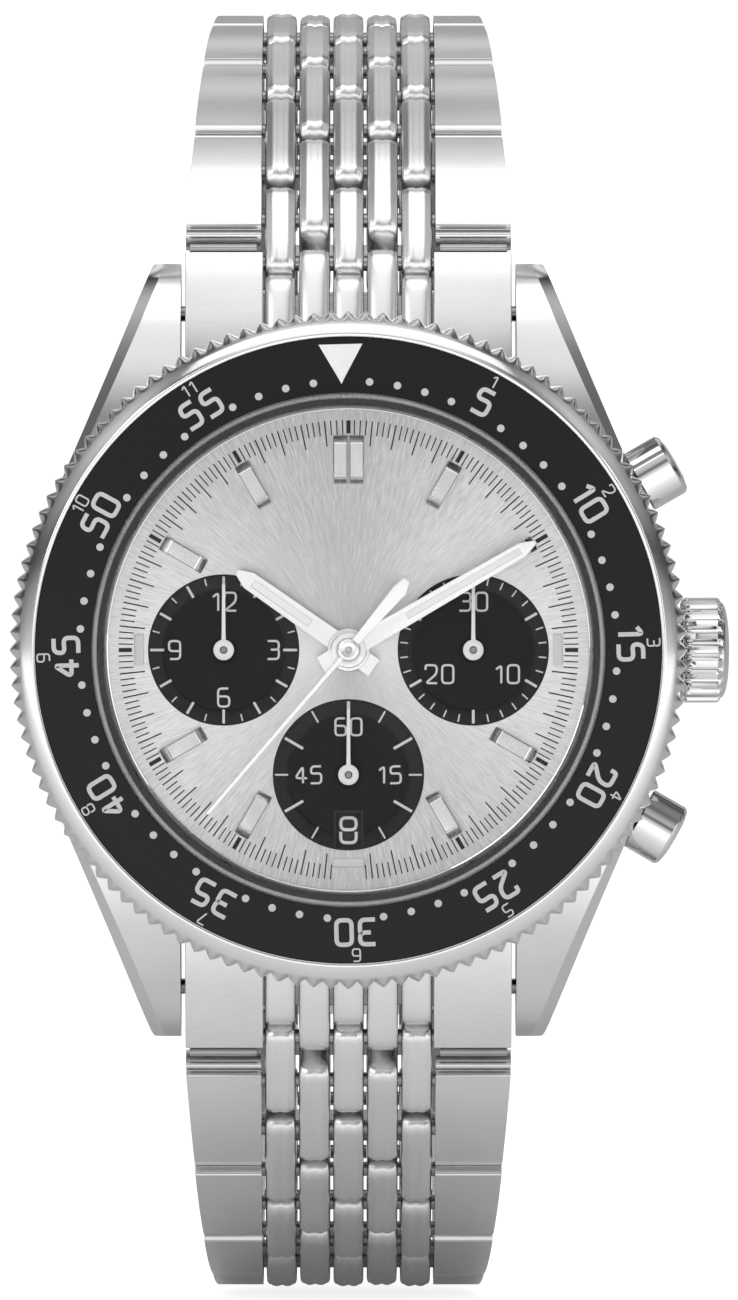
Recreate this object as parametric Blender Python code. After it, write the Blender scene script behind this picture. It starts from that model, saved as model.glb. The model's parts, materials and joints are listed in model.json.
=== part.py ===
"""Chronograph wristwatch with a rotating bezel and a beads-of-rice bracelet.

Sizes are in millimetres and the finished meshes are scaled to metres.
Shapes are drawn in face coordinates: x to the right, up towards twelve o'clock,
and depth forwards from the case back's outer face to the crystal.
The watch stands upright: the dial faces -Y, twelve o'clock is +Z, the crown is at +X.
"""

import math

import bmesh
import bpy
from mathutils import Matrix, Vector

# ---- clearances
gap = 0.3             # between two pieces that rest on each other
running = 0.1         # radial play of a shaft in its hole
side_play = 0.23      # between neighbouring columns of beads
pin_play = 0.15       # radial play of a bracelet pin in its bore

# ---- roundness of the large rings
ring_steps = 40

# ---- case and bezel
bezel_radius = 21.0
grip_teeth = 40
tooth_depth = 0.43
bezel_height = 3.0
insert_thickness = 0.6
insert_width = 3.5
crystal_radius = 15.6
crystal_rise = 2.4
crystal_thickness = 2.4
crystal_skirt = 0.7
case_radius = 20.3
case_height = 8.6
neck_wall = 0.4
neck_height = 2.4
strap_arc_radius = 18.6
lug_length = 24.1
lug_gap = 20.9
lug_tip_width = 1.85
spring_bar_up = 21.0
spring_bar_depth = 3.4
spring_bar_radius = 0.5

# ---- case back
back_radius = 17.2
back_flange = 1.0
back_neck_radius = 16.4
back_neck_height = 2.0
back_window = 12.4
back_crystal_radius = 13.0
back_crystal_thickness = 1.2

# ---- movement and dial
plate_radius = 16.3
plate_thickness = 2.8
bridge_radius = 15.6
bridge_thickness = 0.8
plate_depth = 5.0
barrel_radius = 5.0
barrel_at = (-6.5, 8.0)
balance_radius = 4.5
balance_at = (6.5, -8.5)
rotor_radius = 14.6
rotor_thickness = 1.1
rotor_post_radius = 1.2
dial_thickness = 0.5
dial_rim = 0.7                # from the crystal's edge to the dial opening
subdial_radius = 4.7
subdial_offset = 7.75
subdial_recess = 0.2
date_width = 1.56
date_height = 2.2
date_up = -11.2
date_disc_width = 3.6
date_disc_thickness = 0.25
flange_height = 1.6
marker_height = 0.35
marker_inset = 1.6            # from the dial opening to the markers' outer ends
marker_length = 3.0
marker_half_width = 0.48
double_marker_half_width = 0.95
plot_half_width = 0.29        # the small plots at three and nine
plot_length = 0.65
six_plot_length = 0.5

# ---- hands
hand_thickness = 0.2
hand_step = 0.62
pipe_wall = 0.25
arbor_radius = 0.4
counter_arbor_radius = 0.25
hour_hand_length = 8.5
minute_hand_inset = 1.5       # from the dial opening to the hand's point
chrono_hand_inset = 1.4
chrono_tail_length = 5.7
counter_hand_length = 4.15
hand_half_width = 0.62
minute_tip_half_width = 0.46
hand_tail = 1.9
hour_hub_radius = 1.34
minute_hub_radius = 1.1
chrono_hub_radius = 0.7
counter_hub_radius = 0.65
hour_angle = 305.0
minute_angle = 60.0
chrono_angle = 220.7

# ---- crown and pushers
control_depth = 6.4
crown_radius = 3.3
crown_length = 3.05
crown_base = 20.65
crown_travel = 1.2
crown_flutes = 16
stem_radius = 0.6
tube_radius = 1.5
pusher_angle = 30.0
pusher_radius = 2.0
pusher_base = 20.85
pusher_face = 23.5
pusher_rod_radius = 0.7
pusher_travel = 1.0
stem_inner_end = 9.6
lever_x = (12.6, 13.2)
lever_up = (-1.2, 3.2)
lever_depth = (-1.0, 0.8)     # behind and in front of the stem's axis

# ---- bracelet
first_pin_up = 24.1
first_pin_depth = 4.5
first_pitch = 3.2
half_pitch = 4.05
column_pitch = 2.13
clasp_half_width = 8.0
taper_per_link = 0.5
pin_radius = 0.5
pin_sides = 6
top_rise = 1.6
bottom_drop = 1.3
end_gap = 0.35
row_tilts = (31, 40, 48.5, 56.5, 64, 71, 78, 84.5, 95, 108, 121, 134, 147, 160)

# ---- clasp
clasp_tilt = 167.0
blade_thickness = 0.9
cover_thickness = 1.0
blade_half_width = 6.6
flange_thickness = 0.6
knuckle_radius = 0.9
knuckle_half_width = 2.5
hinge_pin_radius = 0.4
latch_pin_radius = 0.25
blade_inside = 1.1            # from the pins' arc in to the inner blade's inner face
cover_cap = 1.9               # the closed stretch at the cover's lower end
cover_low_play = 0.25         # from the last lower link to the cover's lower end
cover_high_play = 0.65        # from the last upper link to the cover's upper end
blade_high_play = 0.55
finger_root_play = 1.35
button_half_length = 1.8
button_stroke = 0.5

# ---- derived levels and radii
pin_bore = pin_radius + pin_play
outer_half_width = lug_gap / 2 - gap
dial_opening = crystal_radius - dial_rim
minute_hand_length = dial_opening - minute_hand_inset
chrono_hand_length = dial_opening - chrono_hand_inset
case_floor = back_flange + gap
case_top = case_floor + case_height
bezel_floor = case_top + gap
neck_top = case_top + neck_height
insert_top = bezel_floor + bezel_height
insert_floor = insert_top - insert_thickness
insert_outer_radius = crystal_radius + gap + insert_width
crystal_bore = crystal_radius + gap
cavity_radius = back_neck_radius + gap
plate_front = plate_depth + plate_thickness
bridge_back = plate_depth - gap - bridge_thickness
date_floor = plate_front + 0.2
dial_back = date_floor + date_disc_thickness + 0.25
dial_front = dial_back + dial_thickness
dial_radius = crystal_bore - gap
flange_back = dial_front + gap
flange_front = flange_back + flange_height
crystal_floor = flange_front + gap
crystal_top = insert_top + crystal_rise
bead_width = column_pitch - side_play
block_inner = 2.5 * column_pitch + side_play / 2
row_end = (half_pitch - end_gap) / 2
cover_low_inset = row_end + cover_low_play
cover_high_inset = row_end + cover_high_play
blade_high_inset = row_end + blade_high_play
finger_root_inset = row_end + finger_root_play
to_world = Matrix.Rotation(math.radians(90), 4, "X") @ Matrix.Scale(0.001, 4)


# ---- shapes

def scene_object(mesh, name="shape"):
    thing = bpy.data.objects.new(name, mesh)
    bpy.context.collection.objects.link(thing)
    return thing


def from_bmesh(bm):
    bmesh.ops.recalc_face_normals(bm, faces=bm.faces)
    mesh = bpy.data.meshes.new("shape")
    bm.to_mesh(mesh)
    bm.free()
    return scene_object(mesh)


def turned(profile, steps, radius_at=None):
    """Turn a closed (radius, depth) outline about the depth axis."""
    bm = bmesh.new()
    rings = []
    for step in range(steps):
        angle = 2 * math.pi * step / steps
        ring = []
        for index, (radius, depth) in enumerate(profile):
            if radius == 0:
                if step == 0:
                    ring.append(bm.verts.new((0, 0, depth)))
                else:
                    ring.append(rings[0][index])
                continue
            if radius_at:
                radius = radius_at(index, step, radius)
            ring.append(bm.verts.new((radius * math.sin(angle), radius * math.cos(angle), depth)))
        rings.append(ring)
    for step in range(steps):
        here = rings[step]
        there = rings[(step + 1) % steps]
        for index in range(len(profile)):
            after = (index + 1) % len(profile)
            corners = []
            for vert in (here[index], here[after], there[after], there[index]):
                if vert not in corners:
                    corners.append(vert)
            if len(corners) > 2:
                bm.faces.new(corners)
    return from_bmesh(bm)


def extruded(corners, direction):
    """Extrude one flat face, given by its 3-D corners, along a direction."""
    bm = bmesh.new()
    face = bm.faces.new([bm.verts.new(corner) for corner in corners])
    grown = bmesh.ops.extrude_face_region(bm, geom=[face])["geom"]
    moved = [item for item in grown if isinstance(item, bmesh.types.BMVert)]
    bmesh.ops.translate(bm, verts=moved, vec=direction)
    return from_bmesh(bm)


def slab(outline, low, high):
    """A flat plate: an (x, up) outline between two depths."""
    return extruded([(x, up, low) for x, up in outline], (0, 0, high - low))


def bar(outline, low, high):
    """A bar across the watch: an (up, depth) outline between two x places."""
    return extruded([(low, up, depth) for up, depth in outline], (high - low, 0, 0))


def block(x, up, depth):
    """A box from three (low, high) pairs."""
    corners = [(x[0], up[0]), (x[1], up[0]), (x[1], up[1]), (x[0], up[1])]
    return slab(corners, *depth)


def rod(radius, low, high, steps=12):
    """A cylinder along the depth axis, with a flat side and not a corner towards twelve."""
    first = 180 / steps
    return slab(arc(radius, first, first + 360, steps)[:-1], low, high)


def cross_rod(radius, up, depth, low, high, steps=12):
    """A cylinder along x."""
    return moved(rod(radius, low, high, steps), Matrix.Translation((0, up, depth)) @ along_x)


def moved(thing, matrix):
    thing.data.transform(matrix)
    return thing


def at(thing, x=0, up=0, depth=0):
    return moved(thing, Matrix.Translation((x, up, depth)))


def combined(first, second, operation):
    """Apply a boolean and return the result as a new shape."""
    modifier = first.modifiers.new("combine", "BOOLEAN")
    modifier.operation = operation
    modifier.solver = "EXACT"
    modifier.object = second
    bpy.context.view_layer.update()
    graph = bpy.context.evaluated_depsgraph_get()
    mesh = bpy.data.meshes.new_from_object(first.evaluated_get(graph))
    bpy.data.objects.remove(first)
    bpy.data.objects.remove(second)
    return scene_object(mesh)


def fused(first, *others):
    for other in others:
        first = combined(first, other, "UNION")
    return first


def cut(first, *others):
    for other in others:
        first = combined(first, other, "DIFFERENCE")
    return first


def common(first, second):
    return combined(first, second, "INTERSECT")


def arc(radius, start, end, steps):
    """Points on a circle, with angles in degrees clockwise from twelve o'clock."""
    points = []
    for step in range(steps + 1):
        angle = math.radians(start + (end - start) * step / steps)
        points.append((radius * math.sin(angle), radius * math.cos(angle)))
    return points


along_x = Matrix.Rotation(math.radians(90), 4, "Y")


# ---- finished pieces

def finish(name, colour, roughness, metallic):
    material = bpy.data.materials.new(name)
    material.use_nodes = True
    shader = material.node_tree.nodes["Principled BSDF"]
    shader.inputs["Base Color"].default_value = (*colour, 1)
    shader.inputs["Roughness"].default_value = roughness
    shader.inputs["Metallic"].default_value = metallic
    return material


steel = ((0.72, 0.73, 0.74), 0.28, 1.0)
polished = ((0.80, 0.81, 0.82), 0.10, 1.0)
black = ((0.015, 0.015, 0.016), 0.35, 0.0)
silver = ((0.70, 0.70, 0.70), 0.35, 0.8)
glass = ((0.95, 0.97, 0.98), 0.02, 0.0)
brass = ((0.75, 0.62, 0.35), 0.30, 1.0)


def frame_empty(name):
    empty = bpy.data.objects.new(name, None)
    bpy.context.collection.objects.link(empty)
    return empty


def piece(name, thing, look, parent, origin=(0, 0, 0), turn=None):
    """Name a shape, move its origin to its joint, and set it in the watch."""
    thing.name = name
    thing.data.name = name
    thing.data.transform(to_world @ Matrix.Translation(-Vector(origin)))
    place = Matrix.Translation(to_world @ Vector(origin))
    thing.matrix_world = place @ turn if turn else place
    thing.data.materials.clear()
    thing.data.materials.append(finish(name, *look))
    thing.data.shade_smooth()
    thing.data.set_sharp_from_angle(angle=math.radians(30))
    thing.parent = parent


# ---- case

def case_plan():
    """One quarter from the side to the strap arc, then its three mirrors."""
    tip_outer = lug_gap / 2 + lug_tip_width
    side = [(case_radius, 0), (case_radius - 0.1, 2.8), (case_radius - 0.5, 5.4)]
    shoulder = [(case_radius - 1.2, 7.8), (case_radius - 2.2, 9.9)]
    tip = [(tip_outer, lug_length - 0.3), (tip_outer - 0.3, lug_length)]
    inner = [(lug_gap / 2, lug_length)]
    reach = math.degrees(math.asin(lug_gap / 2 / strap_arc_radius))
    quarter = side + shoulder + tip + inner + arc(strap_arc_radius, reach, 0, 5)
    left = [(-x, up) for x, up in reversed(quarter[:-1])]
    half = quarter + left
    return half + [(-x, -up) for x, up in half[1:-1]]


def case_side():
    """How the case and lugs look from the side, as an (up, depth) outline."""
    top = [(0, case_top), (12.5, case_top), (16.0, case_top - 0.6), (19.0, case_top - 1.6)]
    end = [(21.5, 7.0), (23.4, 5.4), (lug_length + 0.1, 4.0), (lug_length + 0.1, 2.0)]
    under = [(23.4, 0.9), (22.4, 0.6), (20.6, 0.7), (18.8, case_floor)]
    half = top + end + under + [(0, case_floor)]
    return half[1:-1] + [(-up, depth) for up, depth in reversed(half[1:-1])]


def pusher_matrix(side):
    """Local depth axis outwards along a pusher; side is +1 above the crown, -1 below."""
    turn = Matrix.Rotation(math.radians(90 - side * pusher_angle), 4, "Z")
    lean = Matrix.Rotation(math.radians(-90), 4, "X")
    return Matrix.Translation((0, 0, control_depth)) @ turn.inverted() @ lean


def case_middle(parent):
    body = common(slab(case_plan(), 0, case_top + 1), bar(case_side(), -25, 25))
    neck = turned(
        [(crystal_bore - 0.5, case_top - 1), (crystal_bore + neck_wall, case_top - 1),
         (crystal_bore + neck_wall, neck_top), (crystal_bore - 0.5, neck_top)], ring_steps)
    tube = cross_rod(tube_radius, 0, control_depth, case_radius - 1, crown_base + 1.25, 16)
    body = fused(body, neck, tube)
    shelf = dial_back - gap
    cavity = turned(
        [(0, 0), (cavity_radius, 0), (cavity_radius, shelf), (crystal_bore, shelf),
         (crystal_bore, neck_top + 1), (0, neck_top + 1)], ring_steps)
    stem_hole = cross_rod(stem_radius + 1.5 * running, 0, control_depth, 10, 25)
    body = cut(body, cavity, stem_hole)
    for side in (1, -1):
        bored = turned(
            [(0, 10), (pusher_rod_radius + running, 10),
             (pusher_rod_radius + running, pusher_base - pusher_travel - gap),
             (pusher_radius + gap, pusher_base - pusher_travel - gap),
             (pusher_radius + gap, 26), (0, 26)], 16)
        body = cut(body, moved(bored, pusher_matrix(side)))
    for up in (spring_bar_up, -spring_bar_up):
        body = cut(body, cross_rod(spring_bar_radius + running, up, spring_bar_depth, -25, 25))
    piece("case_middle", body, steel, parent)


def case_back(parent):
    neck_top_back = back_flange + back_neck_height
    seat = back_crystal_radius + gap
    lip_back = back_crystal_thickness + gap
    lip_front = lip_back + 0.5
    ring = turned(
        [(seat, 0), (back_radius, 0), (back_radius, back_flange),
         (back_neck_radius, back_flange), (back_neck_radius, neck_top_back),
         (rotor_radius + 0.7, neck_top_back), (rotor_radius + 0.7, lip_front),
         (back_window, lip_front), (back_window, lip_back), (seat, lip_back)], ring_steps)
    piece("case_back", ring, steel, parent)
    pane = rod(back_crystal_radius, 0, back_crystal_thickness, ring_steps)
    piece("case_back_crystal", pane, glass, parent)


def bezel(parent):
    recess = insert_outer_radius + gap
    bore = crystal_bore + neck_wall + gap

    def toothed(index, step, radius):
        if index in (1, 2) and step % 2:
            return radius - tooth_depth
        return radius

    ring = turned(
        [(bore, bezel_floor), (bezel_radius, bezel_floor), (bezel_radius, bezel_floor + 2.0),
         (recess, insert_top), (recess, insert_floor - gap), (bore, insert_floor - gap)],
        2 * grip_teeth, toothed)
    piece("bezel_ring", ring, steel, parent)
    insert = turned(
        [(crystal_bore, insert_floor), (insert_outer_radius, insert_floor),
         (insert_outer_radius, insert_top), (crystal_bore, insert_top)], ring_steps)
    piece("bezel_insert", insert, black, parent)


def crystal(parent):
    inner = crystal_radius - crystal_skirt
    shoulder = crystal_top - 0.7
    pane = turned(
        [(0, crystal_top - crystal_thickness), (inner, crystal_top - crystal_thickness),
         (inner, crystal_floor), (crystal_radius, crystal_floor),
         (crystal_radius, shoulder - 0.5), (crystal_radius - 0.4, shoulder),
         (crystal_radius * 0.55, crystal_top - 0.15), (0, crystal_top)], ring_steps)
    piece("crystal", pane, glass, parent)


def inner_flange(parent):
    ring = turned(
        [(dial_opening, flange_back), (dial_radius, flange_back),
         (dial_radius, flange_front), (dial_opening + 0.3, flange_front)], ring_steps)
    piece("inner_flange", ring, steel, parent)


# ---- dial and calendar

def subdial_places():
    return [(-subdial_offset, 0), (subdial_offset, 0), (0, -subdial_offset)]


def marker_boxes():
    """Hour markers as (hour, half width, inner radius, outer radius)."""
    outer = dial_opening - marker_inset
    inner = outer - marker_length
    plot_end = outer + 0.05
    six_end = outer + 0.15
    markers = [(12, double_marker_half_width, inner, outer)]
    markers.append((6, double_marker_half_width, six_end - six_plot_length, six_end))
    for hour in (3, 9):
        markers.append((hour, plot_half_width, plot_end - plot_length, plot_end))
    for hour in (1, 2, 4, 5, 7, 8, 10, 11):
        markers.append((hour, marker_half_width, inner, outer))
    return markers


def dial(parent):
    disc = rod(dial_radius, dial_back, dial_front, ring_steps)
    for x, up in subdial_places():
        well = rod(subdial_radius, dial_front - subdial_recess, dial_front + 1, 20)
        hole = rod(counter_arbor_radius + running, dial_back - 1, dial_front, 8)
        disc = cut(disc, at(well, x, up), at(hole, x, up))
    disc = cut(disc, rod(hour_pipe_radius() + running, dial_back - 1, dial_front + 1, 16))
    window = block((-date_width / 2, date_width / 2), (-date_height / 2, date_height / 2),
                   (dial_back - 1, dial_front + 1))
    disc = cut(disc, at(window, 0, date_up))
    for hour, half_width, inner, outer in marker_boxes():
        marker = block((-half_width, half_width), (inner, outer),
                       (dial_front - subdial_recess - 0.1, dial_front + marker_height))
        turn = Matrix.Rotation(math.radians(-30 * hour), 4, "Z")
        disc = fused(disc, moved(marker, turn))
    piece("dial", disc, silver, parent)


def date_disc(parent):
    middle = -date_up
    inner = middle - date_disc_width / 2
    outer = middle + date_disc_width / 2
    top = date_floor + date_disc_thickness
    ring = turned([(inner, date_floor), (outer, date_floor), (outer, top), (inner, top)], ring_steps)
    piece("date_disc", ring, black, parent)


# ---- hands

def minute_pipe_radius():
    return arbor_radius + running + pipe_wall


def hour_pipe_radius():
    return minute_pipe_radius() + running + pipe_wall


def hand_level(order):
    """Back face of the hour (1), minute (2) or chronograph hand (3)."""
    return dial_front + 0.2 + order * hand_step


def blade(half_width, tip_half, length, tail, low):
    """A baton with a chamfered point."""
    outline = [(-half_width, -tail), (half_width, -tail), (tip_half, length - 0.7),
               (0, length), (-tip_half, length - 0.7)]
    return slab(outline, low, low + hand_thickness)


def pointed_at(angle):
    return Matrix.Rotation(math.radians(angle), 4, "Y")


def piped_hand(name, parent, order, shape, hub_radius, pipe_radius, bore, angle):
    low = hand_level(order)
    top = low + hand_thickness
    hub = turned(
        [(bore, dial_back - 0.2), (pipe_radius, dial_back - 0.2), (pipe_radius, low),
         (hub_radius, low), (hub_radius, top), (bore, top)], 16)
    centre = rod(bore, dial_back - 1, top + 1, 16)
    hand = cut(fused(hub, blade(*shape, low)), centre)
    piece(name, hand, silver, parent, turn=pointed_at(angle))


def time_hands(parent):
    minute_pipe = minute_pipe_radius()
    hour = (hand_half_width, hand_half_width, hour_hand_length, hand_tail)
    minute = (hand_half_width, minute_tip_half_width, minute_hand_length, hand_tail)
    piped_hand("hour_hand", parent, 1, hour, hour_hub_radius,
               hour_pipe_radius(), minute_pipe + running, hour_angle)
    piped_hand("minute_hand", parent, 2, minute, minute_hub_radius,
               minute_pipe, arbor_radius + running, minute_angle)


def chrono_hand(parent):
    low = hand_level(3)
    top = low + hand_thickness
    arbor = turned(
        [(0, plate_depth + 1), (arbor_radius, plate_depth + 1), (arbor_radius, low),
         (chrono_hub_radius, low), (chrono_hub_radius, top), (0, top)], 12)
    outline = [(-0.3, -chrono_tail_length + 1.4), (-0.42, -chrono_tail_length),
               (0.42, -chrono_tail_length), (0.3, -chrono_tail_length + 1.4),
               (0.14, 0), (0.1, chrono_hand_length), (-0.1, chrono_hand_length), (-0.14, 0)]
    hand = fused(arbor, slab(outline, low, top))
    piece("chrono_seconds_hand", hand, silver, parent, turn=pointed_at(chrono_angle))


def counter_hands(parent):
    names = ("hour_counter_hand", "minute_counter_hand", "small_seconds_hand")
    low = dial_front + 0.2
    top = low + 0.15
    for name, (x, up) in zip(names, subdial_places()):
        arbor = turned(
            [(0, plate_front - 1), (counter_arbor_radius, plate_front - 1),
             (counter_arbor_radius, low), (counter_hub_radius, low),
             (counter_hub_radius, top), (0, top)], 10)
        outline = [(-0.14, 0), (0.14, 0), (0.12, counter_hand_length),
                   (-0.12, counter_hand_length)]
        hand = fused(arbor, slab(outline, low, top))
        piece(name, at(hand, x, up), silver, parent, origin=(x, up, low))


# ---- movement

def main_plate(parent):
    plate = rod(plate_radius, plate_depth, plate_front, ring_steps)
    plate = cut(plate, rod(arbor_radius + running, 0, 20))
    for x, up in subdial_places():
        plate = cut(plate, at(rod(counter_arbor_radius + running, 0, 20, 8), x, up))
    barrel_well = rod(barrel_radius + gap, 0, plate_front - 0.4, 24)
    barrel_hole = rod(0.9, 0, 20)
    balance_hole = rod(0.4, 0, plate_front - 0.6, 8)
    plate = cut(plate, at(barrel_well, *barrel_at), at(barrel_hole, *barrel_at))
    plate = cut(plate, at(balance_hole, *balance_at))
    stem_hole = cross_rod(stem_radius + 2 * running, 0, control_depth, stem_inner_end - 0.4, 20)
    pocket = block((lever_x[0] - 0.7, lever_x[1] + crown_travel + 0.5),
                   (lever_up[0] - 0.4, lever_up[1] + 0.4),
                   (0, control_depth + lever_depth[1] + gap))
    piece("main_plate", cut(plate, stem_hole, pocket), brass, parent)


def movement_bridge(parent):
    front = bridge_back + bridge_thickness
    bridge = rod(bridge_radius, bridge_back, front, ring_steps)
    hole = rod(balance_radius + gap + 0.1, 0, 20, 24)
    bridge = cut(bridge, at(hole, *balance_at))
    bridge = cut(bridge, at(rod(0.9, 0, 20), *barrel_at))
    post = rod(rotor_post_radius, rotor_back() - 0.1, front - 0.2, 16)
    piece("movement_bridge", fused(bridge, post), steel, parent)


def barrel(parent):
    drum = turned(
        [(0, bridge_back + 0.2), (0.8, bridge_back + 0.2), (0.8, plate_depth),
         (barrel_radius, plate_depth), (barrel_radius, plate_front - 0.7),
         (0.8, plate_front - 0.7), (0.8, plate_front), (0, plate_front)], 20)
    x, up = barrel_at
    piece("mainspring_barrel", at(drum, x, up), brass, parent, origin=(x, up, plate_depth))


def balance(parent):
    back = bridge_back + 0.05
    front = back + 0.6
    rim = turned(
        [(balance_radius - 0.6, back), (balance_radius, back),
         (balance_radius, front), (balance_radius - 0.6, front)], 20)
    reach = balance_radius - 0.3
    arms = block((-reach, reach), (-0.25, 0.25), (back + 0.15, front - 0.15))
    staff = rod(0.3, back - 0.3, plate_front - 0.9, 6)
    hub = rod(0.8, back, front, 10)
    wheel = fused(rim, arms, hub, staff)
    x, up = balance_at
    piece("balance_wheel", at(wheel, x, up), brass, parent, origin=(x, up, back))


def rotor_back():
    return bridge_back - gap - rotor_thickness - 0.1


def rotor(parent):
    """A half disc with a heavy rim, which hangs below its bearing."""
    back = rotor_back()
    front = back + rotor_thickness
    half = arc(rotor_radius, 90, 270, 18)
    web = slab(half, front - 0.5, front)
    rim_outline = half + arc(rotor_radius - 2.2, 270, 90, 14)
    rim = slab(rim_outline, back, front - 0.1)
    hub = rod(2.6, front - 0.8, front, 16)
    bearing = rod(rotor_post_radius + running, 0, 20, 16)
    piece("rotor", cut(fused(web, rim, hub), bearing), steel, parent, origin=(0, 0, back))


def stem_and_crown(parent):
    end = crown_base + crown_length
    pocket_floor = crown_base + crown_travel + 0.35
    socket_floor = end - 0.7
    bore = stem_radius + running

    def fluted(index, step, radius):
        if index in (1, 2) and step % 2:
            return radius - 0.22
        return radius

    cap = turned(
        [(tube_radius + gap, crown_base), (crown_radius, crown_base + 0.15),
         (crown_radius, end - 0.75), (crown_radius - 0.55, end - 0.2), (0, end),
         (0, socket_floor), (bore, socket_floor), (bore, pocket_floor),
         (tube_radius + gap, pocket_floor)], 2 * crown_flutes, fluted)
    to_crown = Matrix.Translation((0, 0, control_depth)) @ along_x
    axis_point = (crown_base, 0, control_depth)
    piece("crown", moved(cap, to_crown), polished, parent, origin=axis_point)
    stem = cross_rod(stem_radius, 0, control_depth, stem_inner_end, socket_floor - 0.1)
    piece("winding_stem", stem, steel, parent, origin=axis_point)
    lever = block(lever_x, lever_up, (control_depth + lever_depth[0], control_depth + lever_depth[1]))
    lever = cut(lever, cross_rod(stem_radius + running, 0, control_depth, 10, 16))
    middle = (lever_x[0] + lever_x[1]) / 2
    piece("setting_lever", lever, steel, parent, origin=(middle, 0, control_depth))


def pushers(parent):
    for name, side in (("pusher_start", 1), ("pusher_reset", -1)):
        shape = turned(
            [(0, cavity_radius + pusher_travel - 0.2),
             (pusher_rod_radius, cavity_radius + pusher_travel - 0.2),
             (pusher_rod_radius, pusher_base), (pusher_radius, pusher_base),
             (pusher_radius, pusher_face - 0.35), (pusher_radius - 0.3, pusher_face - 0.1),
             (0, pusher_face)], 20)
        matrix = pusher_matrix(side)
        origin = matrix @ Vector((0, 0, pusher_base))
        piece(name, moved(shape, matrix), polished, parent, origin=origin)


# ---- bracelet

def row_length(number):
    return first_pitch if number == 0 else half_pitch


def row_pins():
    """Pins as (up, depth), from the end link to the clasp."""
    pins = [Vector((first_pin_up, first_pin_depth))]
    for number, tilt in enumerate(row_tilts):
        angle = math.radians(tilt)
        step = Vector((math.cos(angle), -math.sin(angle))) * row_length(number)
        pins.append(pins[-1] + step)
    return pins


def link_profile(length, start, end):
    """Side outline of a block or bead, as (along, out), with its inner corners cut back."""
    return [(-start, 1.1), (0.4 - start, top_rise), (length + end - 0.4, top_rise),
            (length + end, 1.1), (length + end, -0.7), (length + end - 0.5, -bottom_drop),
            (0.5 - start, -bottom_drop), (-start, -0.7)]


def undercut_profile(length, start, end):
    """The same for a bead whose ends pass over the web of the next row."""
    return [(-start, 1.1), (0.4 - start, top_rise), (length + end - 0.4, top_rise),
            (length + end, 1.1), (length + end, -0.3), (length + 0.8, -0.3),
            (length + 0.55, -bottom_drop), (-0.55, -bottom_drop), (-0.8, -0.3), (-start, -0.3)]


def columns(places, profile):
    """One bead in each of the given columns."""
    beads = []
    for place in places:
        middle = place * column_pitch
        beads.append(bar(profile, middle - bead_width / 2, middle + bead_width / 2))
    return beads


def bead_row(number):
    """Three beads on a thin web, bored for the pins of the rows on both sides."""
    length = row_length(number)
    start = 1.2 if number == 0 else row_end
    web_middle = 1.45 if number == 0 else length / 2
    reach = 2 * column_pitch
    web = block((-reach, reach), (web_middle - 0.4, web_middle + 0.4),
                (-bottom_drop, 0.35 - bottom_drop))
    row = fused(web, *columns((-2, 0, 2), link_profile(length, start, row_end)))
    for along in (0, length):
        row = cut(row, cross_rod(pin_bore, along, 0, -10, 10, pin_sides))
    return row


def half_width_at(place):
    """Half width of the bracelet, counted in rows from the first outer link."""
    return max(clasp_half_width, outer_half_width - taper_per_link * place / 2)


def side_block(number, side):
    """An outer block whose outer edge follows the bracelet's taper."""
    wide = half_width_at(number - 1)
    narrow = half_width_at(number + 1)
    profile = link_profile(half_pitch, row_end, row_end)
    thing = bar(profile, side * block_inner, side * wide)
    for vert in thing.data.vertices:
        if abs(vert.co.x) > block_inner + 0.01:
            share = (vert.co.y + row_end) / (half_pitch + 2 * row_end)
            vert.co.x = side * (wide + (narrow - wide) * share)
    return thing


def outer_row(number):
    """Two side blocks and two beads on the pins that they share with the bead rows."""
    profile = undercut_profile(half_pitch, row_end, row_end)
    row = fused(*columns((-1, 1), profile), side_block(number, 1), side_block(number, -1))
    for along in (0, half_pitch):
        pin = cross_rod(pin_radius, along, 0, -block_inner - 0.8, block_inner + 0.8, pin_sides)
        row = fused(row, pin)
    return row


def bracelet_half(side, parent):
    """side is upper or lower; the lower half is the upper one turned about the depth axis."""
    sign = 1 if side == "upper" else -1
    pins = row_pins()
    for number, tilt in enumerate(row_tilts):
        kind = "bead" if number % 2 == 0 else "outer"
        shape = bead_row(number) if kind == "bead" else outer_row(number)
        turn = Matrix.Rotation(-sign * math.radians(tilt), 4, "X")
        if sign < 0:
            turn = turn @ Matrix.Rotation(math.pi, 4, "Y")
        up, depth = pins[number]
        piece(f"{side}_{kind}_link_{number // 2 + 1}", shape, steel, parent)
        shape.matrix_world = Matrix.Translation(to_world @ Vector((0, sign * up, depth))) @ turn


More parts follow.
